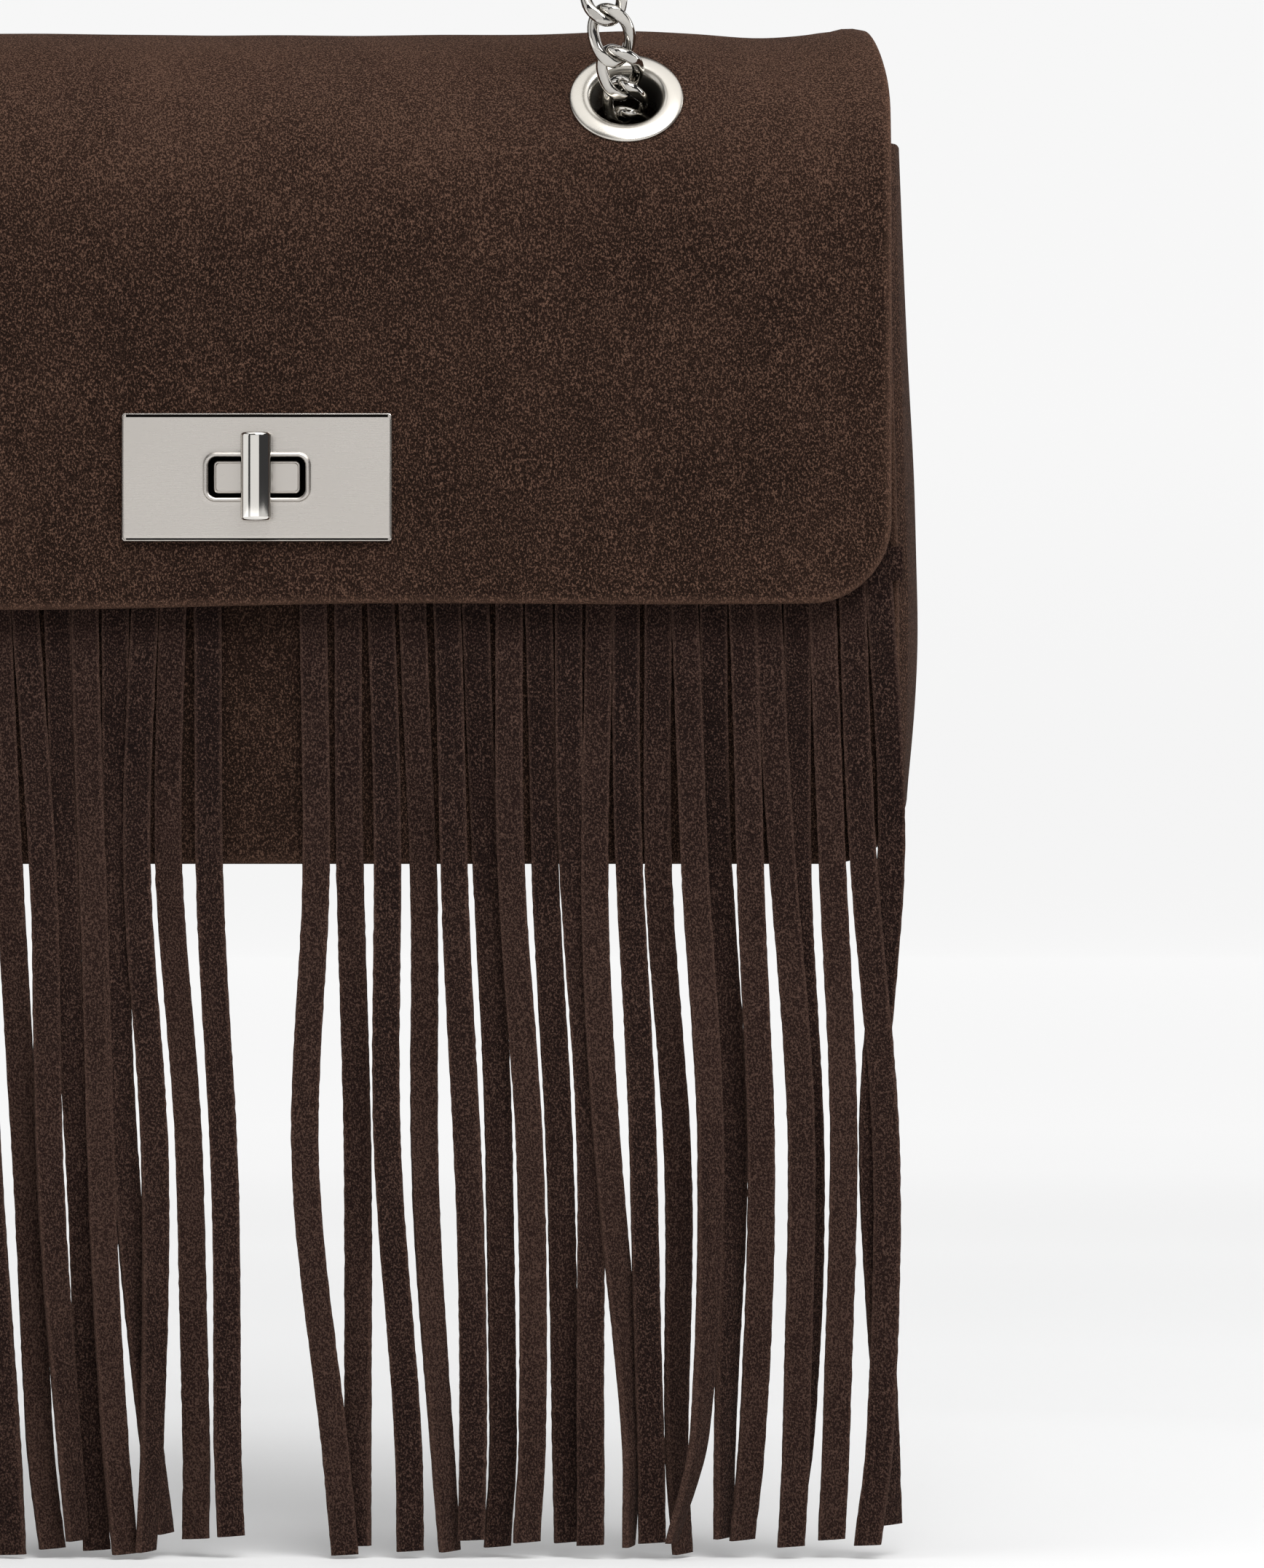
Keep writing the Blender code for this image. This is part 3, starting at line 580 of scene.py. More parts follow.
def flap_point(x, l, depth):
    """Puts a point of the flat-cut sheet in space, depth below its outer face."""
    off = flap_swell(x, l) - depth
    radius = CROWN_RADIUS + off
    centre = CROWN_Z - CROWN_RADIUS
    if l <= BACK_LENGTH:
        return Vector((x, MIDDLE_Y + radius, FLAP_LOW.z + l))
    if l <= BACK_LENGTH + CROWN_LENGTH:
        angle = crown_angle(l)
        return Vector((x, MIDDLE_Y - radius * math.sin(angle), centre + radius * math.cos(angle)))
    down = l - BACK_LENGTH - CROWN_LENGTH
    share = down / (sizes().flap_drop - CROWN_RADIUS)
    sag = -0.0012 * share * (0.5 - 0.5 * math.tanh((x + 0.004) / 0.035))
    wave = 0.0002 * share * math.sin(x / 0.021 + 0.8)
    return Vector((x, MIDDLE_Y - radius, centre - down + sag + wave))


def sheet_rows(start, end, inset, step):
    """Rows of (x, l) points over a stretch of the flap."""
    across = round(2 * sizes().panel_half_belly / step)
    rows = []
    for l in spread(start, end, round((end - start) / step), RIM_STEPS):
        half = flap_half_width(l) - inset
        rows.append([(x, l) for x in spread(-half, half, across, RIM_STEPS)])
    return rows


def cut_round(item, centre, turn, radius, depth):
    """Cuts a round hole along the turned Z axis."""
    loops = []
    for h in (-depth, depth):
        loops.append([centre + turn @ Vector((x, y, h)) for x, y in circle(40, radius)])
    cut_with(item, add_ring_stack(bmesh.new(), loops))


def cut_with(item, bm):
    """Takes the cutter's shape out of the piece with an applied Boolean."""
    bmesh.ops.recalc_face_normals(bm, faces=bm.faces)
    mesh = bpy.data.meshes.new("cutter")
    bm.to_mesh(mesh)
    bm.free()
    tool = bpy.data.objects.new("cutter", mesh)
    bpy.context.scene.collection.objects.link(tool)
    step = item.modifiers.new("cut", "BOOLEAN")
    step.operation = "DIFFERENCE"
    step.solver = "EXACT"
    step.object = tool
    depsgraph = bpy.context.evaluated_depsgraph_get()
    result = bpy.data.meshes.new_from_object(item.evaluated_get(depsgraph))
    item.modifiers.clear()
    old = item.data
    item.data = result
    bpy.data.meshes.remove(old)
    bpy.data.objects.remove(tool, do_unlink=True)
    bpy.data.meshes.remove(mesh)
    item.data.shade_smooth()
    item.data.set_sharp_from_angle(angle=math.radians(40))


def eyelet_axis(side):
    """The eyelet's middle on the crown, and a turn that lays Z along its bore."""
    turn = Matrix.Rotation(EYELET_TILT, 3, "X")
    x = eyelet_place()[0]
    middle = Vector((side * x, MIDDLE_Y, CROWN_Z - CROWN_RADIUS)) + turn @ Vector((0, 0, CROWN_RADIUS))
    return middle, turn


def rounded_loop(width, height, corner, y, steps=6):
    """A rounded rectangle round the lock's centre line at depth y."""
    points = []
    for turn, (sx, sz) in enumerate(((1, 1), (-1, 1), (-1, -1), (1, -1))):
        for i in range(steps + 1):
            a = math.radians(90 * (turn + i / steps))
            x = sx * (width / 2 - corner) + corner * math.cos(a)
            z = sz * (height / 2 - corner) + corner * math.sin(a)
            points.append(Vector((x, y, LOCK_Z + z)))
    return points


def cut_flap_holes(item):
    """The holes for both eyelets and for the lock's collar."""
    for side in (-1, 1):
        middle, turn = eyelet_axis(side)
        cut_round(item, middle, turn, EYELET_HOLE, 0.008)
    loops = [rounded_loop(*SLOT_HOLE, FLAP_LOW.y + y) for y in (-0.003, 0.008)]
    cut_with(item, add_ring_stack(bmesh.new(), loops))


def make_flap():
    """The back, the crown and the flap, one sheet of suede."""
    rows = sheet_rows(0.0, flap_length(), 0.0, 0.0024)
    sheet = turned_sheet(rows, sizes().flap_thickness, flap_point, flap_edge)
    item = new_piece("suede_back_and_flap", sheet, angle=60)
    cut_flap_holes(item)
    finish(item, suede())
    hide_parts("back_and_flap")


def make_flap_inside():
    """The stiffener and the lining under the flap's suede, which follow its shape."""
    start = BACK_LENGTH + CROWN_RADIUS * math.radians(11)
    under = sizes().flap_thickness + 0.0003
    board = board_material("flap_stiffener_board_finish", "board", colours().board)
    layers = (
        ("flap_stiffener_board", "flap_stiffener", start + 0.03, under, 0.0006, 0.004, board),
        ("flap_lining_suede", "flap_lining", start, under + 0.0009, 0.0010, 0.0013, suede()),
    )
    for name, node, first, depth, thickness, inset, maker in layers:

        def point(x, l, d, depth=depth):
            return flap_point(x, l, depth + d)

        rows = sheet_rows(first, flap_length() - inset, inset, 0.0036)
        item = new_piece(name, turned_sheet(rows, thickness, point, lambda x, l: 0.01), angle=60)
        cut_flap_holes(item)
        finish(item, maker)
        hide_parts(node)


# ---------------------------------------------------------------- the body


def panel_edge_points(z_top, inset, steps):
    """The right edge from the top down and round the corner to the middle of the base."""
    s = sizes()
    straight = BAG_HEIGHT - s.panel_corner + z_top
    count = max(4, round(straight / steps))
    points = []
    for i in range(count):
        z = z_top - straight * i / count
        points.append((panel_half_width(z) - inset, z, 1.0))
    corner = s.panel_corner
    turns = 18
    for i in range(turns + 1):
        a = math.radians(90 * i / turns)
        r = corner - inset
        x = s.panel_half_belly - corner + r * math.cos(a)
        points.append((x, -BAG_HEIGHT + corner - r * math.sin(a), math.cos(a)))
    return points


# The hole in the front panel for the turn bar's stem.
STEM_HOLE = 0.0056


def make_front_panel():
    """The front panel: flat, with turned edges and a soft belly."""
    s = sizes()
    top = FRONT_HIGH.z - CROWN_Z
    thickness = FRONT_HIGH.y - FRONT_LOW.y

    def half(z):
        rest = z + BAG_HEIGHT
        width = panel_half_width(z)
        if rest < s.panel_corner:
            width -= s.panel_corner - math.sqrt(max(s.panel_corner**2 - (s.panel_corner - rest) ** 2, 0.0))
        return width

    def edge(x, z):
        rest = z + BAG_HEIGHT
        ax, az = abs(x) - (panel_half_width(z) - s.panel_corner), s.panel_corner - rest
        if ax > 0 and az > 0:
            return s.panel_corner - math.hypot(ax, az)
        return min(panel_half_width(z) - abs(x), rest, top - z)

    def point(x, z, depth):
        calm = 1 - math.exp(-((x / 0.02) ** 2) - (((z + 0.0906) / 0.016) ** 2))
        low = math.exp(-((edge(x, z) / 0.005) ** 2))
        wave = 0.00025 * ripple(x, z, 0.03, 1.3) * calm
        return Vector((x, FRONT_LOW.y + depth + wave + 0.0002 * low, CROWN_Z + z))

    rows = []
    for z in spread(-BAG_HEIGHT, top, 44, RIM_STEPS):
        rows.append([(x, z) for x in spread(-half(z), half(z), 62, RIM_STEPS)])
    item = new_piece("suede_front_panel", turned_sheet(rows, thickness, point, edge), angle=60)
    forward = Matrix.Rotation(math.pi / 2, 3, "X")
    cut_round(item, Vector((0, FRONT_LOW.y, LOCK_Z)), forward, STEM_HOLE, 0.004)
    finish(item, panel_suede_painted_shade())
    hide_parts("front_panel")


def gusset_depth(z):
    """Where the gusset starts and ends across Y at this height."""
    t = min(max((z + 0.046) / 0.022, 0.0), 1.0)
    return GUSSET_LOW.y + 0.002 * t * t, GUSSET_HIGH.y - 0.0075 * t * t


def gusset_line(side, x, z, normal, swell, ys):
    """One line of the strip's skin across its width; ys hold (y, share of the width) pairs."""
    line = []
    for y, t in ys:
        arch = math.sin(math.pi * t) ** 0.45
        pleat = 0.0010 * math.exp(-(((t - 0.5) / 0.12) ** 2)) * max(0.0, 1 + z / 0.06) * normal
        soft = 0.0004 * ripple(y * 1.3 + side, z, 0.03, 5.2) * arch
        line.append((x + swell * arch - pleat + soft, y, soft))
    return line


def make_gusset():
    """One strip down a side, under and up: it swells between its two corded seams."""
    s = sizes()
    top = GUSSET_HIGH.z - CROWN_Z
    outer = panel_edge_points(top, 0.0, 0.003)
    inner = panel_edge_points(top, s.flap_thickness, 0.003)
    across = 22
    loops = []
    for side in (-1, 1):
        chain = []
        for (x, z, normal), (ix, iz, _) in zip(outer, inner):
            front, back = gusset_depth(z)
            height = math.sin(math.pi * min(1.0, max(0.0, -z / 0.25))) ** 0.5
            taper = min(max((-z - 0.112) / 0.040, 0.0), 1.0)
            swell = s.gusset_swell * normal * height * (1 - 0.45 * taper * taper)
            ys = [(front + (back - front) * k / across, k / across) for k in range(across + 1)]
            skins = ((x, z, ys), (ix, iz, ys[::-1]))
            chain.append(
                [
                    Vector((side * px, y, CROWN_Z + skin_z - soft * (1 - normal)))
                    for skin_x, skin_z, order in skins
                    for px, y, soft in gusset_line(side, skin_x, z, normal, swell, order)
                ]
            )
        loops.append(chain)
    bm = add_ring_stack(bmesh.new(), loops[0] + loops[1][::-1])
    item = new_piece("suede_gusset", bm, angle=60)
    finish(item, suede())
    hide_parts("gusset")


def make_hidden_parts():
    """Finishes on the pieces whose plain shape is their real one."""
    c = colours()
    lining = cloth_material("woven_lining", "lining_cloth", c.lining)
    steel = metal_material("plated_steel_finish", "plated_steel", c.steel, 0.32, 0.2)
    nap = suede()
    finish_node("body_lining", lining)
    finish_node("base_board", board_material("base_fibre_board", "board", c.board))
    for node in ("chain_tab_left", "chain_tab_right"):
        finish_node(node, nap)
    fittings = ["lock_back_plate", "lock_base_washer", "lock_spring_washer", "lock_retainer"]
    fittings += [f"lock_screw_{i}" for i in range(1, 5)] + ["eyelet_washer_left", "eyelet_washer_right"]
    for node in fittings:
        finish_node(node, steel)


# ---------------------------------------------------------------- the fringe

# Sway of each strip in millimetres: sideways at the bag's base, half way, low and at the tip,
# then its turn at the tip in degrees and how much shorter than the longest strip it was cut.
SWAY_RIGHT = [
    (0.1, -1.5, 3.9, 5.7, 8, 0.0),
    (1.3, 2.2, 2.8, 2.9, -30, 1.6),
    (2.4, 2.9, 6.3, 6.8, 12, 0.7),
    (3.6, 3.7, 7.5, 8.8, 48, 0.6),
    (3.9, 6.4, 7.4, 7.3, -10, 2.9),
    (3.8, 6.8, 7.4, 6.0, 24, 1.4),
    (3.4, 6.5, 7.5, 6.5, 14, 2.6),
    (3.6, 7.0, 7.6, 8.0, 22, 2.2),
    (3.5, 6.6, 7.2, 7.0, -12, 2.0),
    (1.8, 4.4, 8.8, 8.5, 72, 1.7),
    (2.4, 5.4, 6.9, 6.9, 10, 2.4),
    (2.7, 6.0, 6.1, 7.5, 46, 0.1),
    (3.3, 7.0, 4.3, -1.2, 78, 2.9),
    (2.6, 5.2, 4.0, 3.5, 52, 3.2),
    (2.6, 5.0, 2.9, 1.1, 30, 2.9),
    (3.0, 6.8, 6.0, 4.7, 16, 1.7),
    (0.4, 2.6, 1.2, -1.0, 40, 3.6),
    (0.7, 3.5, 1.7, 0.6, 14, 3.0),
    (1.5, 5.4, 4.8, 2.3, -16, 2.0),
    (0.6, -2.6, -0.5, 0.6, 42, 5.7),
]
SWAY_LEFT = [
    (1.5, 4.0, 4.7, 5.7, 10, 3.7),
    (-1.2, 3.3, 4.3, 4.0, -8, 2.9),
    (-0.8, 2.1, 2.1, 0.9, 50, 0.8),
    (0.4, 2.5, 6.8, 9.8, 62, 4.0),
    (2.0, 3.5, 6.8, 8.5, 30, 0.3),
    (2.6, 5.2, 7.0, 8.7, 6, 0.7),
    (3.8, 5.6, 9.1, 10.6, 52, 2.9),
    (3.6, 6.2, 9.4, 12.0, 20, 1.1),
    (2.5, 5.6, 8.7, 9.7, -14, 0.0),
    (2.6, 5.2, 7.0, 6.2, 26, 2.2),
    (1.2, 3.9, 5.1, 6.6, -34, 1.3),
    (2.1, 4.4, 6.9, 7.9, 12, 3.0),
    (3.0, 5.9, 5.2, 3.8, 55, 0.8),
    (1.8, 3.1, 4.6, 6.9, -9, 2.4),
    (2.7, 6.3, 7.4, 5.6, 24, 1.6),
    (0.9, 3.7, 6.1, 8.2, 42, 3.3),
    (2.4, 5.4, 4.4, 2.7, -18, 0.5),
    (3.3, 4.8, 6.6, 7.5, 15, 2.1),
    (1.6, 2.9, 5.8, 4.9, 60, 1.9),
    (2.9, 4.1, 4.7, 5.0, -28, 4.2),
]
STRIPS_BEHIND = {1: (1, 3, 5, 7, 9, 11, 13, 16, 19), -1: (1, 3, 5, 7, 9, 11, 13, 15, 17, 19)}
SWAY_HEIGHTS = (0.0, 0.295, 0.592, 0.888, 1.0)
STRIP_COUNT = 20
STRIP_PITCH = 0.005945
STRIP_ROWS = 150
STRIP_CHAMFER = 0.00018
# The header's lower edge below the crown, and how far the longest strip hangs past the CAD comb.
HEADER_DEPTH = 0.1100
EXTRA_DROP = 0.0012
# Every other strip hangs behind its neighbours: the step at the header and what the drape adds.
LAYER_STEP, LAYER_DRAPE = 0.0004, 0.0010
# Shares of a strip's length: where its drape starts, how long it grows, and where it falls back.
DRAPE_START, DRAPE_LENGTH, BACK_START = 0.06, 0.5, 0.45
TIP_BACK = 0.0060
# A strip that turns past this many degrees stands clear of its neighbours.
CLEAR_TURN, CLEAR_RANGE, CLEAR_STEP = 60, 14, 0.0035
# How far a strip leans at its top, the slant of its cut tip, and the raggedness of its edges.
TOP_LEAN, TIP_SLANT, FRAY = 2.6, 0.05, 0.045


def smooth_through(values, t):
    """A smooth curve through the values at the sway heights."""
    places = SWAY_HEIGHTS
    k = 0
    while k < len(places) - 2 and t > places[k + 1]:
        k += 1
    a, b = places[k], places[k + 1]
    u = (t - a) / (b - a)
    before = values[k - 1] if k else values[k]
    after = values[k + 2] if k + 2 < len(values) else values[k + 1]
    gap_before = b - places[k - 1] if k else b - a
    gap_after = places[k + 2] - a if k + 2 < len(values) else b - a
    slope_a = (values[k + 1] - before) / gap_before * (b - a)
    slope_b = (after - values[k]) / gap_after * (b - a)
    h00, h10 = 2 * u**3 - 3 * u**2 + 1, u**3 - 2 * u**2 + u
    h01, h11 = -2 * u**3 + 3 * u**2, u**3 - u**2
    return h00 * values[k] + h10 * slope_a + h01 * values[k + 1] + h11 * slope_b


def strip_section(width, thickness):
    """A strip's cross-section as (x, y, raw edge): flat faces and cut edges with broken corners."""
    w, t, c = width / 2, thickness / 2, STRIP_CHAMFER
    half = [(w * 0.4, 0.0), (w - 0.0007, 0.0), (w - c, 0.9)]
    face = [(-x, raw) for x, raw in reversed(half)] + half
    front = [(x, -t, raw) for x, raw in face]
    back = [(x, t, raw) for x, raw in reversed(face)]
    return front + [(w, -t + c, 1.0), (w, t - c, 1.0)] + back + [(-w, t - c, 1.0), (-w, -t + c, 1.0)]


def add_strip(bm, side, index, sway, top_z):
    """One strip: it leans, bows and turns as it hangs, and is cut a little askew at its tip."""
    s = sizes()
    low, half_way, near_tip, tip, turn, short = sway
    start_x = side * (FRINGE_LOW.x + STRIP_PITCH * (index + 0.5))
    top_lean = TOP_LEAN * math.sin(math.pi * index / 15.5) if side > 0 else 0.5
    values = [v * MM for v in (top_lean, low, half_way, near_tip, tip)]
    end_z = FRINGE_LOW.z - EXTRA_DROP + short * MM
    middle_y = (FRINGE_LOW.y + FRINGE_HIGH.y) / 2
    layer = -1 if index in STRIPS_BEHIND[side] else 1
    section = strip_section(s.strip_width, s.strip_thickness)
    # A number of its own sets the phase of each strip's small waves.
    seed = index * 3.7 + side * 11.3
    loops = []
    for r in range(STRIP_ROWS + 1):
        t = r / STRIP_ROWS
        z = top_z + (end_z - top_z) * t
        drape = min(max((t - DRAPE_START) / DRAPE_LENGTH, 0.0), 1.0)
        x = start_x + smooth_through(values, t) + 0.0003 * math.sin(9 * t + seed)
        y = middle_y - LAYER_STEP * layer * min(1.0, t * 6) - LAYER_DRAPE * drape * layer
        y -= 0.0012 * drape * (0.5 + 0.5 * math.sin(seed)) + 0.0010 * math.sin(4.3 * t + seed) * drape
        y += TIP_BACK * max(0.0, t - BACK_START) ** 1.5
        y -= CLEAR_STEP * drape * max(0.0, abs(turn) - CLEAR_TURN) / CLEAR_RANGE
        twist = math.radians(turn) * max(0.0, (t - 0.25) / 0.75) ** 1.6
        twist += 0.10 * math.sin(6 * t + seed) * drape
        curl = 0.00035 * math.sin(5 * t + seed * 1.7) * drape
        askew = TIP_SLANT if r == STRIP_ROWS else 0.0
        ca, sa = math.cos(twist), math.sin(twist)
        ring = []
        for px, py, _ in section:
            qx = px * (1 + FRAY * noise.noise(Vector((z / 0.0014, seed, px * 900))))
            qy = py + curl * (1 - (2 * px / s.strip_width) ** 2)
            ring.append(Vector((x + qx * ca - qy * sa, y + qx * sa + qy * ca, z + askew * px)))
        loops.append(ring)
    first = len(bm.verts)
    add_ring_stack(bm, loops)
    bm.verts.ensure_lookup_table()
    edge, tone = bm.verts.layers.float["edge"], bm.verts.layers.float["tone"]
    for number in range(first, len(bm.verts)):
        vertex = bm.verts[number]
        # Cut edges are marked for a lighter tone: partly the raw cut edge's colour, partly painted
        # highlight.
        vertex[edge] = section[(number - first) % len(section)][2]
        vertex[tone] = math.sin(seed * 2.3) * 0.8


def make_fringe(side):
    """A sewn header and its cut strips."""
    name = "right" if side > 0 else "left"
    bm = bmesh.new()
    bm.verts.layers.float.new("edge")
    bm.verts.layers.float.new("tone")
    low, high = FRINGE_LOW, FRINGE_HIGH
    header_low = CROWN_Z - HEADER_DEPTH
    width = STRIP_COUNT * STRIP_PITCH
    x0, x1 = side * low.x, side * (low.x + width)
    corners = ((x0, low.y), (x1, low.y), (x1, high.y), (x0, high.y))
    heights = (high.z, (high.z + header_low) / 2, header_low - 0.0006)
    add_ring_stack(bm, [[Vector((x, y, z)) for x, y in corners] for z in heights])
    for index, sway in enumerate(SWAY_RIGHT if side > 0 else SWAY_LEFT):
        add_strip(bm, side, index, sway, header_low)
    item = new_piece(f"suede_fringe_{name}", bm, angle=50)
    finish(item, fringe_suede())
    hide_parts(f"fringe_{name}")


# ---------------------------------------------------------------- the turn lock


def lock_height(h):
    """A height over the flap's suede as a Y coordinate."""
    return FLAP_LOW.y - h


def near_lock(point, width, height):
    """Whether a point lies inside this rectangle round the lock's centre line."""
    return abs(point.x) < width / 2 and abs(point.z - LOCK_Z) < height / 2


def paint_gap_shade(item, test):
    """Gives the faces deep in a gap a dark painted shade."""
    painted_shade = metal_material(item.name + "_gap", "satin_nickel", colours().gap_shade, 0.6, 0.0)
    item.data.materials.append(painted_shade.material)
    for face in item.data.polygons:
        if test(face.center):
            face.material_index = 1


def lock_rings(rings, steps):
    """Rounded rectangles of (width, height, corner radius) in millimetres at a Y coordinate."""
    return [rounded_loop(w * MM, h * MM, corner * MM, y, steps) for w, h, corner, y in rings]


# The rim is rolled a little harder at its top, so the groove inside it sits low.
GROOVE_SHIFT = 0.00012
GROOVE_RINGS = (7, 8)
# Width and height round the groove and the slot whose deep faces get painted shade.
GROOVE_BOX = (0.0500, 0.0248)
SLOT_BOX = (0.0192, 0.0082)


def make_lock_plate():
    """The plate: rolled rim, a groove inside it, a flat field and a raised collar round the slot."""
    # Width, height, corner radius and height over the suede, all in millimetres.
    rings = [
        (53.0, 25.2, 0.6, 0.3),
        (53.0, 25.2, 0.6, 1.35),
        (52.9, 25.1, 0.6, 1.55),
        (52.75, 24.95, 0.6, 1.64),
        (52.6, 24.8, 0.6, 1.66),
        (52.5, 24.65, 0.5, 1.60),
        (52.45, 24.6, 0.5, 1.0),
        (52.4, 23.75, 0.5, 1.0),
        (52.35, 23.7, 0.5, 1.64),
        (52.2, 23.5, 0.5, 1.70),
        (51.8, 22.8, 0.4, 1.70),
        (23.0, 11.5, 3.4, 1.70),
        (21.5, 10.1, 2.6, 1.70),
        (21.15, 9.75, 2.5, 1.74),
        (21.0, 9.62, 2.45, 1.90),
        (20.95, 9.55, 2.4, 2.40),
        (20.75, 9.35, 2.3, 2.62),
        (20.4, 9.05, 2.2, 2.70),
        (19.9, 8.65, 2.0, 2.70),
        (19.4, 8.3, 1.8, 2.60),
        (19.1, 8.05, 1.7, 2.36),
        (19.0, 8.0, 1.6, 1.5),
        (19.0, 8.0, 1.6, -4.8),
        (19.9, 8.9, 2.0, -4.8),
        (19.9, 8.9, 2.0, 0.3),
    ]
    loops = lock_rings([(w, h, corner, lock_height(rise * MM)) for w, h, corner, rise in rings], 8)
    for number in GROOVE_RINGS:
        for point in loops[number]:
            point.z -= GROOVE_SHIFT
    item = new_piece("lock_plate_nickel", add_ring_stack(bmesh.new(), loops, cyclic=True), angle=32)
    finish(item, metal_material("satin_nickel_finish", "satin_nickel", colours().satin_nickel, 0.20, 1.0))
    groove, slot = lock_height(0.00105), lock_height(0.0012)

    # The groove's and the slot's deep faces get painted shade.
    def deep(centre):
        in_groove = centre.y > groove and near_lock(centre, *GROOVE_BOX)
        return in_groove or (centre.y > slot and near_lock(centre, *SLOT_BOX))

    paint_gap_shade(item, deep)
    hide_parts("lock_plate")


def make_lock_base():
    """The base's flange, and its boss with a fine bright edge in the plate's slot."""
    back, front = FRONT_LOW.y - 0.0003, BASE_FRONT
    rings = [
        (26.0, 12.0, 2.0, back),
        (26.0, 12.0, 2.0, back - 0.0010),
        (25.6, 11.6, 1.8, back - 0.0012),
        (17.3, 6.7, 1.2, back - 0.0012),
        (17.0, 6.4, 1.0, back - 0.0016),
        (17.0, 6.4, 1.0, front + 0.0004),
        (16.85, 6.25, 0.9, front + 0.0001),
        (16.6, 6.0, 0.8, front),
        (16.3, 5.7, 0.75, front),
        (16.15, 5.55, 0.7, front + 0.0001),
        (16.0, 5.4, 0.7, front + 0.0002),
        (15.8, 5.2, 0.6, front + 0.0002),
    ]
    item = new_piece("lock_base_nickel", add_ring_stack(bmesh.new(), lock_rings(rings, 6)), angle=32)
    finish(item, metal_material("base_nickel_finish", "satin_nickel", colours().satin_nickel, 0.22, 0.8))
    # The base's deep faces behind the plate get painted shade.
    paint_gap_shade(item, lambda centre: centre.y > front + 0.0012)
    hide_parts("lock_base")


# The turn bar's half width, its depth, and how deep its rounded front is.
BAR_HALF = 0.0030
BAR_DEPTH = 0.0047
BAR_CROWN = 0.0021


def make_knob():
    """The turn bar: a rounded front, broken edges, domed ends, and its collar and stem."""
    front, rear = KNOB_LOW.y, KNOB_HIGH.y
    back = front + BAR_DEPTH
    section = []
    for i in range(25):
        a = math.pi * i / 24
        x = BAR_HALF * math.cos(a) * (1 - 0.02 * math.sin(a))
        section.append((x, front + BAR_CROWN * (1 - math.sin(a))))
    broken = [(BAR_HALF, back - 0.0008), (BAR_HALF - 0.0002, back - 0.0003), (BAR_HALF - 0.0006, back)]
    section += [(-x, y) for x, y in broken] + broken[::-1]
    middle = (front + back) / 2
    length = KNOB_HIGH.z - KNOB_LOW.z
    # Each ring's place as a share of the bar's length, and its size.
    ends = ((0.500, 0.78), (0.4985, 0.84), (0.494, 0.90), (0.482, 0.965), (0.470, 0.992), (0.455, 1.0))
    stack = [(-z, k) for z, k in ends] + [(z, k) for z, k in reversed(ends)]
    loops = []
    for z, k in stack:
        loops.append([Vector((x * k, middle + (y - middle) * k, LOCK_Z + z * length)) for x, y in section])
    bm = add_ring_stack(bmesh.new(), loops)
    # The collar's and the stem's radius at each depth.
    stem = [
        (0.0030, back - 0.0006),
        (0.0032, back + 0.0002),
        (0.00322, back + 0.0010),
        (0.0031, back + 0.0014),
        (0.0019, back + 0.0015),
        (0.0019, rear - 0.0004),
        (0.0027, rear - 0.0004),
        (0.0027, rear - 0.0001),
        (0.0022, rear),
    ]
    add_ring_stack(bm, [[Vector((x, y, LOCK_Z + z)) for x, z in circle(40, radius)] for radius, y in stem])
    item = new_piece("turn_bar_nickel", bm, TURN_BODY, 38)
    nickel = colours().polished_nickel
    finish(item, metal_material("turn_bar_finish", "polished_nickel", nickel, 0.045, 0.0, 0.03))
    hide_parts("lock_knob")


# ---------------------------------------------------------------- the eyelets


def make_eyelet(side):
    """A drawn eyelet: broad domed flange, rolled bore, and its edge rolled over the washer."""
    name = "right" if side > 0 else "left"
    # Radius and height over the suede in millimetres.
    profile = [
        (7.4, 0.15),
        (10.9, 0.15),
        (11.2, 0.22),
        (11.27, 0.45),
        (11.2, 0.70),
        (11.0, 0.86),
        (10.4, 1.08),
        (9.6, 1.32),
        (8.9, 1.47),
        (8.3, 1.50),
        (7.75, 1.36),
        (7.3, 1.00),
        (6.98, 0.45),
        (6.84, -0.2),
        (6.80, -2.0),
        (6.80, -7.5),
        (7.1, -7.9),
        (8.0, -8.1),
        (8.5, -7.9),
        (8.6, -7.6),
        (8.2, -7.35),
        (7.4, -7.3),
    ]
    middle, turn = eyelet_axis(side)
    loops = []
    for ca, sa in circle(96, 1.0):
        loops.append([middle + turn @ Vector((r * MM * ca, r * MM * sa, h * MM)) for r, h in profile])
    item = new_piece(f"eyelet_{name}_nickel", add_ring_stack(bmesh.new(), loops, cyclic=True), angle=50)
    nickel = colours().eyelet_nickel
    finish(item, metal_material(f"eyelet_{name}_finish", "polished_nickel", nickel, 0.24, 0.15))
    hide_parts(f"eyelet_{name}")


# ---------------------------------------------------------------- the chain

# The right half of the chain's route, from its tab, through the eyelet, to the top bend.
CHAIN_ROUTE = [
    (0.1138, 0.0000, -0.0330),
    (0.1055, -0.0004, -0.0330),
    (0.0960, -0.0048, -0.0332),
    (0.0860, -0.0108, -0.0308),
    (0.0785, -0.0163, -0.0268),
    (0.0738, -0.0216, -0.0229),
    (0.0725, -0.0262, -0.0194),
    (0.0724, -0.0305, -0.0162),
    (0.0722, -0.0344, -0.0132),
    (0.0709, -0.0386, -0.0093),
    (0.0696, -0.0416, -0.0040),
    (0.0683, -0.0425, 0.0020),
    (0.0671, -0.0420, 0.0085),
    (0.0636, -0.0391, 0.0285),
    (0.0586, -0.0345, 0.0585),
    (0.0527, -0.0284, 0.0985),
    (0.0457, -0.0222, 0.1385),
    (0.0387, -0.0160, 0.1785),
    (0.0345, -0.0122, 0.2030),
]
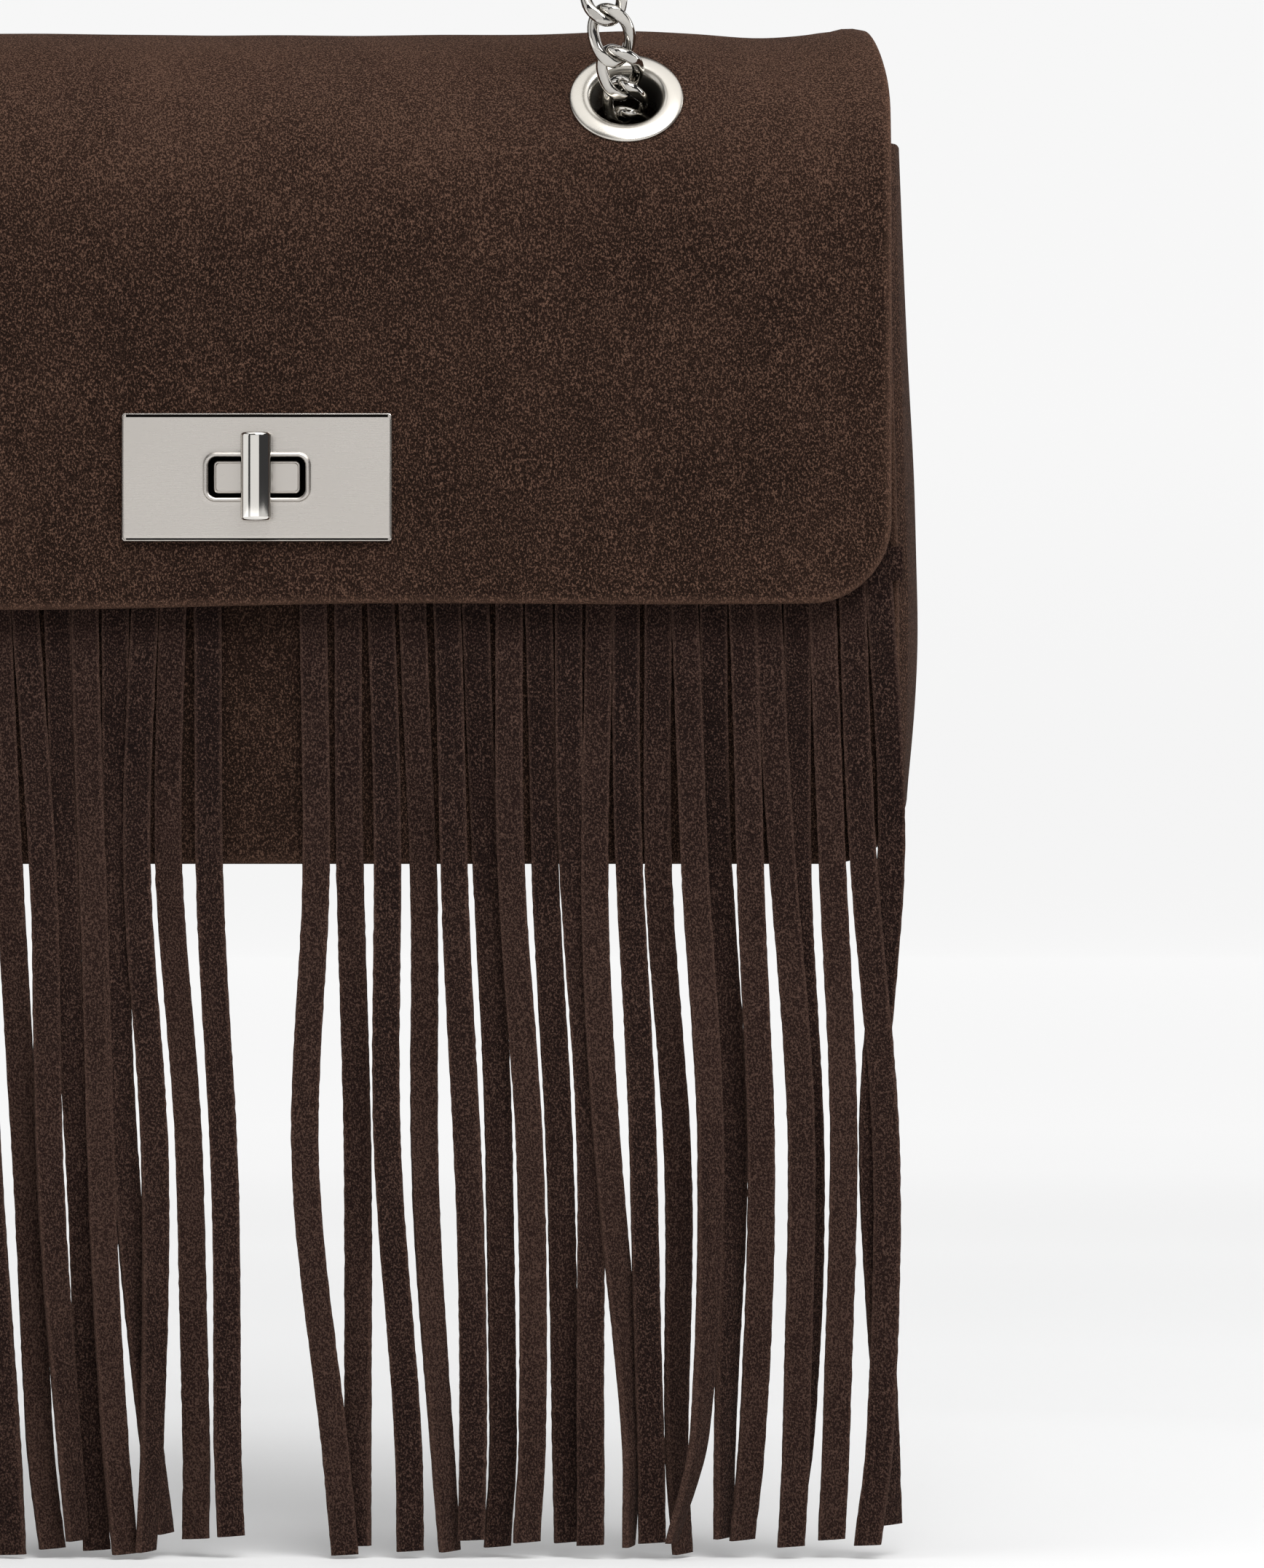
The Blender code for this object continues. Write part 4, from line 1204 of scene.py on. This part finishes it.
# How far the first link starts before the route, the top bend's radius, the width of a link,
# and the top bend's underside, measured from the crown, and its place across the bag.
CHAIN_START = -0.0027
CHAIN_BEND = 0.032
CHAIN_DIAMETER = 0.0092
HANG_HEIGHT = 0.242
HANG_Y = -0.005
# A link's half width and half flat, its wire's fullness at the ends, and its twist.
LINK_HALF = 0.0047
LINK_CUT = 0.0020
LINK_POWER = 0.86
LINK_TWIST = math.radians(43)


def chain_route():
    """The whole route: the right half, the round top bend, then the left half."""
    bend_z = HANG_HEIGHT + CHAIN_DIAMETER / 2 - CHAIN_BEND
    right = [Vector(point) for point in CHAIN_ROUTE]
    start = right[-1]
    bend = []
    for i in range(1, 6):
        angle = math.radians(10 + 80 * i / 5)
        x = CHAIN_BEND * math.cos(angle)
        z = bend_z + CHAIN_BEND * math.sin(angle)
        y = HANG_Y + (start.y - HANG_Y) * (1 - i / 5) ** 2 * 0.6
        bend.append(Vector((x, y, z)))
    half = right + bend
    whole = half + [Vector((-p.x, p.y, p.z)) for p in reversed(half[:-1])]
    move = Vector((0, MIDDLE_Y, CROWN_Z))
    return [p + move for p in whole]


def smooth_curve(points, spacing, start=0.0):
    """Points about spacing apart on one smooth curve through the given points."""
    fine = []
    padded = [2 * points[0] - points[1], *points, 2 * points[-1] - points[-2]]
    for a, b, c, d in zip(padded, padded[1:], padded[2:], padded[3:]):
        for step in range(24):
            t = step / 24
            bow = (2 * a - 5 * b + 4 * c - d) * t**2 + (3 * b - a - 3 * c + d) * t**3
            fine.append(0.5 * (2 * b + (c - a) * t + bow))
    fine.append(points[-1])
    reached = [0.0]
    for a, b in zip(fine, fine[1:]):
        reached.append(reached[-1] + (b - a).length)
    total = reached[-1] - start
    count = round(total / spacing)
    out, k = [], 0
    for i in range(count + 1):
        want = start + total * i / count
        while k < len(fine) - 2 and reached[k + 1] < want:
            k += 1
        t = (want - reached[k]) / (reached[k + 1] - reached[k])
        out.append(fine[k].lerp(fine[k + 1], min(t, 1.0)))
    return out, reached[-1]


def link_rings():
    """A curb link in its own axes: Z along the chain, Y through the flat of the link."""
    wire = sizes().wire
    wide, tall = LINK_HALF - wire, sizes().link_pitch / 2 + wire * 1.02
    rings = []
    for ca, sa in circle(52, 1.0):
        x = wide * math.copysign(abs(ca) ** LINK_POWER, ca)
        z = tall * math.copysign(abs(sa) ** LINK_POWER, sa)
        twist = LINK_TWIST * sa
        centre = Vector((x * math.cos(twist), x * math.sin(twist), z))
        out = Vector((ca * math.cos(twist), ca * math.sin(twist), sa)).normalized()
        ahead = Vector((-sa * math.cos(twist), -sa * math.sin(twist), ca)).normalized()
        side = ahead.cross(out).normalized()
        ring = []
        for u, v in circle(20, wire):
            p = centre + out * u + side * v
            p.y = max(min(p.y, LINK_CUT), -LINK_CUT)
            ring.append(p)
        rings.append(ring)
    return rings


def chain_links(points):
    """One mesh of links, each set on the route with its flat to the front, but edge-on at both ends."""
    bm = bmesh.new()
    rings = link_rings()
    count = len(points) - 1
    for i in range(count):
        here = (points[i] + points[i + 1]) / 2
        along = (points[i + 1] - points[i]).normalized()
        flat = Vector((0, -1, 0)) - along * (-along.y)
        flat.normalize()
        side = flat.cross(along)
        roll = math.radians(90 * max(0.0, 1 - min(i, count - 1 - i) / 4))
        turn = Matrix((side, -flat, along)).transposed() @ Matrix.Rotation(roll, 3, "Z")
        add_ring_stack(bm, [[here + turn @ p for p in ring] for ring in rings], cyclic=True)
    return bm


def make_chain():
    """The curb chain, one cord from tab to tab."""
    points, length = smooth_curve(chain_route(), sizes().link_pitch, CHAIN_START)
    item = new_piece("chain_strap_links", chain_links(points))
    nickel = colours().chain_nickel
    finish(item, metal_material("chain_finish", "polished_nickel", nickel, 0.045, 0.0, 0.03))
    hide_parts("chain_strap")
    path, _ = smooth_curve(chain_route(), 0.004)


# ---------------------------------------------------------------- stage, light and camera


# The camera's distance from the flap, the width it takes in there, and its place across and down.
VIEW_DISTANCE = 1.6
VIEW_WIDTH = 0.2482
VIEW_X = 0.0736
VIEW_DROP = 0.1508


SENSOR_WIDTH = 36.0
FLOOR_GAP = 0.0020
FLOOR_NEAR, FLOOR_FAR = -7.0, 5.5
FLOOR_HALF = 7.0
COVE_RADIUS = 0.5
WALL_HEIGHT = 4.5


def area_light(name, place, target, width, height, power):
    """A soft rectangular lamp aimed at its target."""
    data = bpy.data.lights.new(name, "AREA")
    data.shape = "RECTANGLE"
    data.size, data.size_y = width, height
    data.energy = power
    lamp = bpy.data.objects.new(name, data)
    bpy.context.scene.collection.objects.link(lamp)
    lamp.location = place
    lamp.rotation_euler = (Vector(target) - Vector(place)).to_track_quat("-Z", "Y").to_euler()
    return lamp


# Distance from the bag in metres, then the sweep's own glow and its share of the lamps' light.
SWEEP_REACH = 2.0
SWEEP_GLOW = [(0.10, 0.125), (0.4, 0.19), (0.65, 0.36), (1.05, 0.61), (1.6, 0.815), (2.0, 0.862)]
SWEEP_SHARE = [(0.35, 1.0), (0.6, 0.90), (0.9, 0.70), (1.2, 0.50), (1.6, 0.28), (2.0, 0.20)]


def make_sweep(floor_z):
    """A seamless studio sweep: floor, round cove and wall."""
    profile = [(FLOOR_NEAR, 0.0), (FLOOR_FAR, 0.0)]
    for i in range(1, 17):
        a = math.radians(90 * i / 16)
        profile.append((FLOOR_FAR + COVE_RADIUS * math.sin(a), COVE_RADIUS * (1 - math.cos(a))))
    profile.append((FLOOR_FAR + COVE_RADIUS, WALL_HEIGHT))
    bm = bmesh.new()
    rows = [[bm.verts.new((x, y, floor_z + z)) for x in (-FLOOR_HALF, FLOOR_HALF)] for y, z in profile]
    for a, b in zip(rows, rows[1:]):
        bm.faces.new((a[0], a[1], b[1], b[0]))
    mesh = bpy.data.meshes.new("studio_sweep")
    bm.to_mesh(mesh)
    bm.free()
    mesh.shade_smooth()
    sweep = bpy.data.objects.new("studio_sweep", mesh)
    bpy.context.scene.collection.objects.link(sweep)
    m = Maker("sweep_paper", "stage")
    c = colours().backdrop
    reach = 1 / SWEEP_REACH
    where = m.place((reach, reach, 0.0))
    away = m.node("ShaderNodeVectorMath", {"operation": "LENGTH"}, {0: where}, "Value")
    glow = m.ramp(away, [(at * reach, (amount,) * 3) for at, amount in SWEEP_GLOW])
    paper = m.ramp(away, [(at * reach, [v * share for v in c]) for at, share in SWEEP_SHARE])
    m.shade(Base_Color=paper, Roughness=0.9, Specular_IOR_Level=0.1)
    m.shade(Emission_Color=glow, Emission_Strength=1.0)
    mesh.materials.append(m.material)


def make_camera():
    """A level camera in front of the right half of the bag."""
    data = bpy.data.cameras.new("studio_camera")
    data.sensor_fit = "HORIZONTAL"
    data.sensor_width = SENSOR_WIDTH
    data.lens = SENSOR_WIDTH * VIEW_DISTANCE / VIEW_WIDTH
    data.clip_end = 20.0
    camera = bpy.data.objects.new("studio_camera", data)
    bpy.context.scene.collection.objects.link(camera)
    camera.location = (VIEW_X, FLAP_LOW.y - VIEW_DISTANCE, CROWN_Z - VIEW_DROP)
    camera.rotation_euler = (math.radians(90), 0, 0)
    bpy.context.scene.camera = camera


def make_stage():
    """The sweep, a dim surround, the lamps and the camera."""
    scene = bpy.context.scene
    make_sweep(FRINGE_LOW.z - FLOOR_GAP)
    world = bpy.data.worlds.new("studio_world")
    world.use_nodes = True
    world.node_tree.nodes["Background"].inputs["Color"].default_value = full((0.05, 0.05, 0.052))
    scene.world = world
    scene.view_settings.view_transform = "Standard"
    scene.view_settings.look = "None"
    middle = (0.05, 0.0, CROWN_Z - 0.12)
    area_light("key_softbox", (0.55, -1.20, CROWN_Z + 1.05), middle, 1.3, 1.0, 30)
    area_light("top_softbox", (0.10, -0.25, CROWN_Z + 1.10), (0.08, -0.05, CROWN_Z), 2.0, 1.6, 15)
    area_light("front_panel_light", (-0.27, -2.35, CROWN_Z - 0.05), middle, 2.1, 1.4, 8.7)
    area_light("left_panel", (-1.15, -0.50, CROWN_Z + 0.10), middle, 1.1, 1.2, 4)
    area_light("right_strip", (1.25, 0.30, CROWN_Z + 0.15), middle, 0.35, 1.3, 5)
    make_camera()


# ---------------------------------------------------------------- operators


class BAG_OT_stage(bpy.types.Operator):
    """Build the studio sweep, the lights, the world and the camera"""

    bl_idname = "bag.stage"
    bl_label = "Stage"

    def execute(self, context):
        make_stage()
        return {"FINISHED"}


class BAG_OT_chain(bpy.types.Operator):
    """Build the curb-chain strap from tab to tab"""

    bl_idname = "bag.chain"
    bl_label = "Chain strap"

    def execute(self, context):
        make_chain()
        return {"FINISHED"}


class BAG_OT_flap(bpy.types.Operator):
    """Build the back and flap with its stiffener and lining"""

    bl_idname = "bag.flap"
    bl_label = "Back and flap"

    def execute(self, context):
        make_flap()
        make_flap_inside()
        return {"FINISHED"}


class BAG_OT_body(bpy.types.Operator):
    """Build the front panel and the gusset, and finish the hidden pieces"""

    bl_idname = "bag.body"
    bl_label = "Body"

    def execute(self, context):
        make_front_panel()
        make_gusset()
        make_hidden_parts()
        return {"FINISHED"}


class BAG_OT_fringe(bpy.types.Operator):
    """Build both halves of the cut fringe"""

    bl_idname = "bag.fringe"
    bl_label = "Fringe"

    def execute(self, context):
        for side in (-1, 1):
            make_fringe(side)
        return {"FINISHED"}


class BAG_OT_lock(bpy.types.Operator):
    """Build the lock plate, its base and the turn bar"""

    bl_idname = "bag.lock"
    bl_label = "Turn lock"

    def execute(self, context):
        make_lock_plate()
        make_lock_base()
        make_knob()
        return {"FINISHED"}


class BAG_OT_eyelets(bpy.types.Operator):
    """Build the two drawn eyelets"""

    bl_idname = "bag.eyelets"
    bl_label = "Eyelets"

    def execute(self, context):
        for side in (-1, 1):
            make_eyelet(side)
        return {"FINISHED"}


OPERATORS = (
    BAG_OT_stage,
    BAG_OT_chain,
    BAG_OT_flap,
    BAG_OT_body,
    BAG_OT_fringe,
    BAG_OT_lock,
    BAG_OT_eyelets,
)


class BAG_PT_panel(bpy.types.Panel):
    """Lists the bag's operators, sizes and colours"""

    bl_label = "Suede Bag"
    bl_idname = "BAG_PT_panel"
    bl_space_type = "VIEW_3D"
    bl_region_type = "UI"
    bl_category = "Suede Bag"

    def draw(self, context):
        for kind in OPERATORS:
            self.layout.operator(kind.bl_idname)
        for group in (context.scene.bag_sizes, context.scene.bag_colours):
            column = self.layout.column()
            for name in group.__annotations__:
                column.prop(group, name)


CLASSES = (BagSizes, BagColours, *OPERATORS, BAG_PT_panel)


def register():
    """Registers the classes and hangs the sizes and colours on the scene."""
    for cls in CLASSES:
        bpy.utils.register_class(cls)
    bpy.types.Scene.bag_sizes = bpy.props.PointerProperty(type=BagSizes)
    bpy.types.Scene.bag_colours = bpy.props.PointerProperty(type=BagColours)


def unregister():
    """Takes back what register did."""
    del bpy.types.Scene.bag_colours
    del bpy.types.Scene.bag_sizes
    for cls in reversed(CLASSES):
        bpy.utils.unregister_class(cls)


def main():
    """Builds everything in order."""
    register()
    bpy.ops.bag.stage()
    bpy.ops.bag.chain()
    bpy.ops.bag.flap()
    bpy.ops.bag.body()
    bpy.ops.bag.fringe()
    bpy.ops.bag.lock()
    bpy.ops.bag.eyelets()


if __name__ == "__main__":
    main()
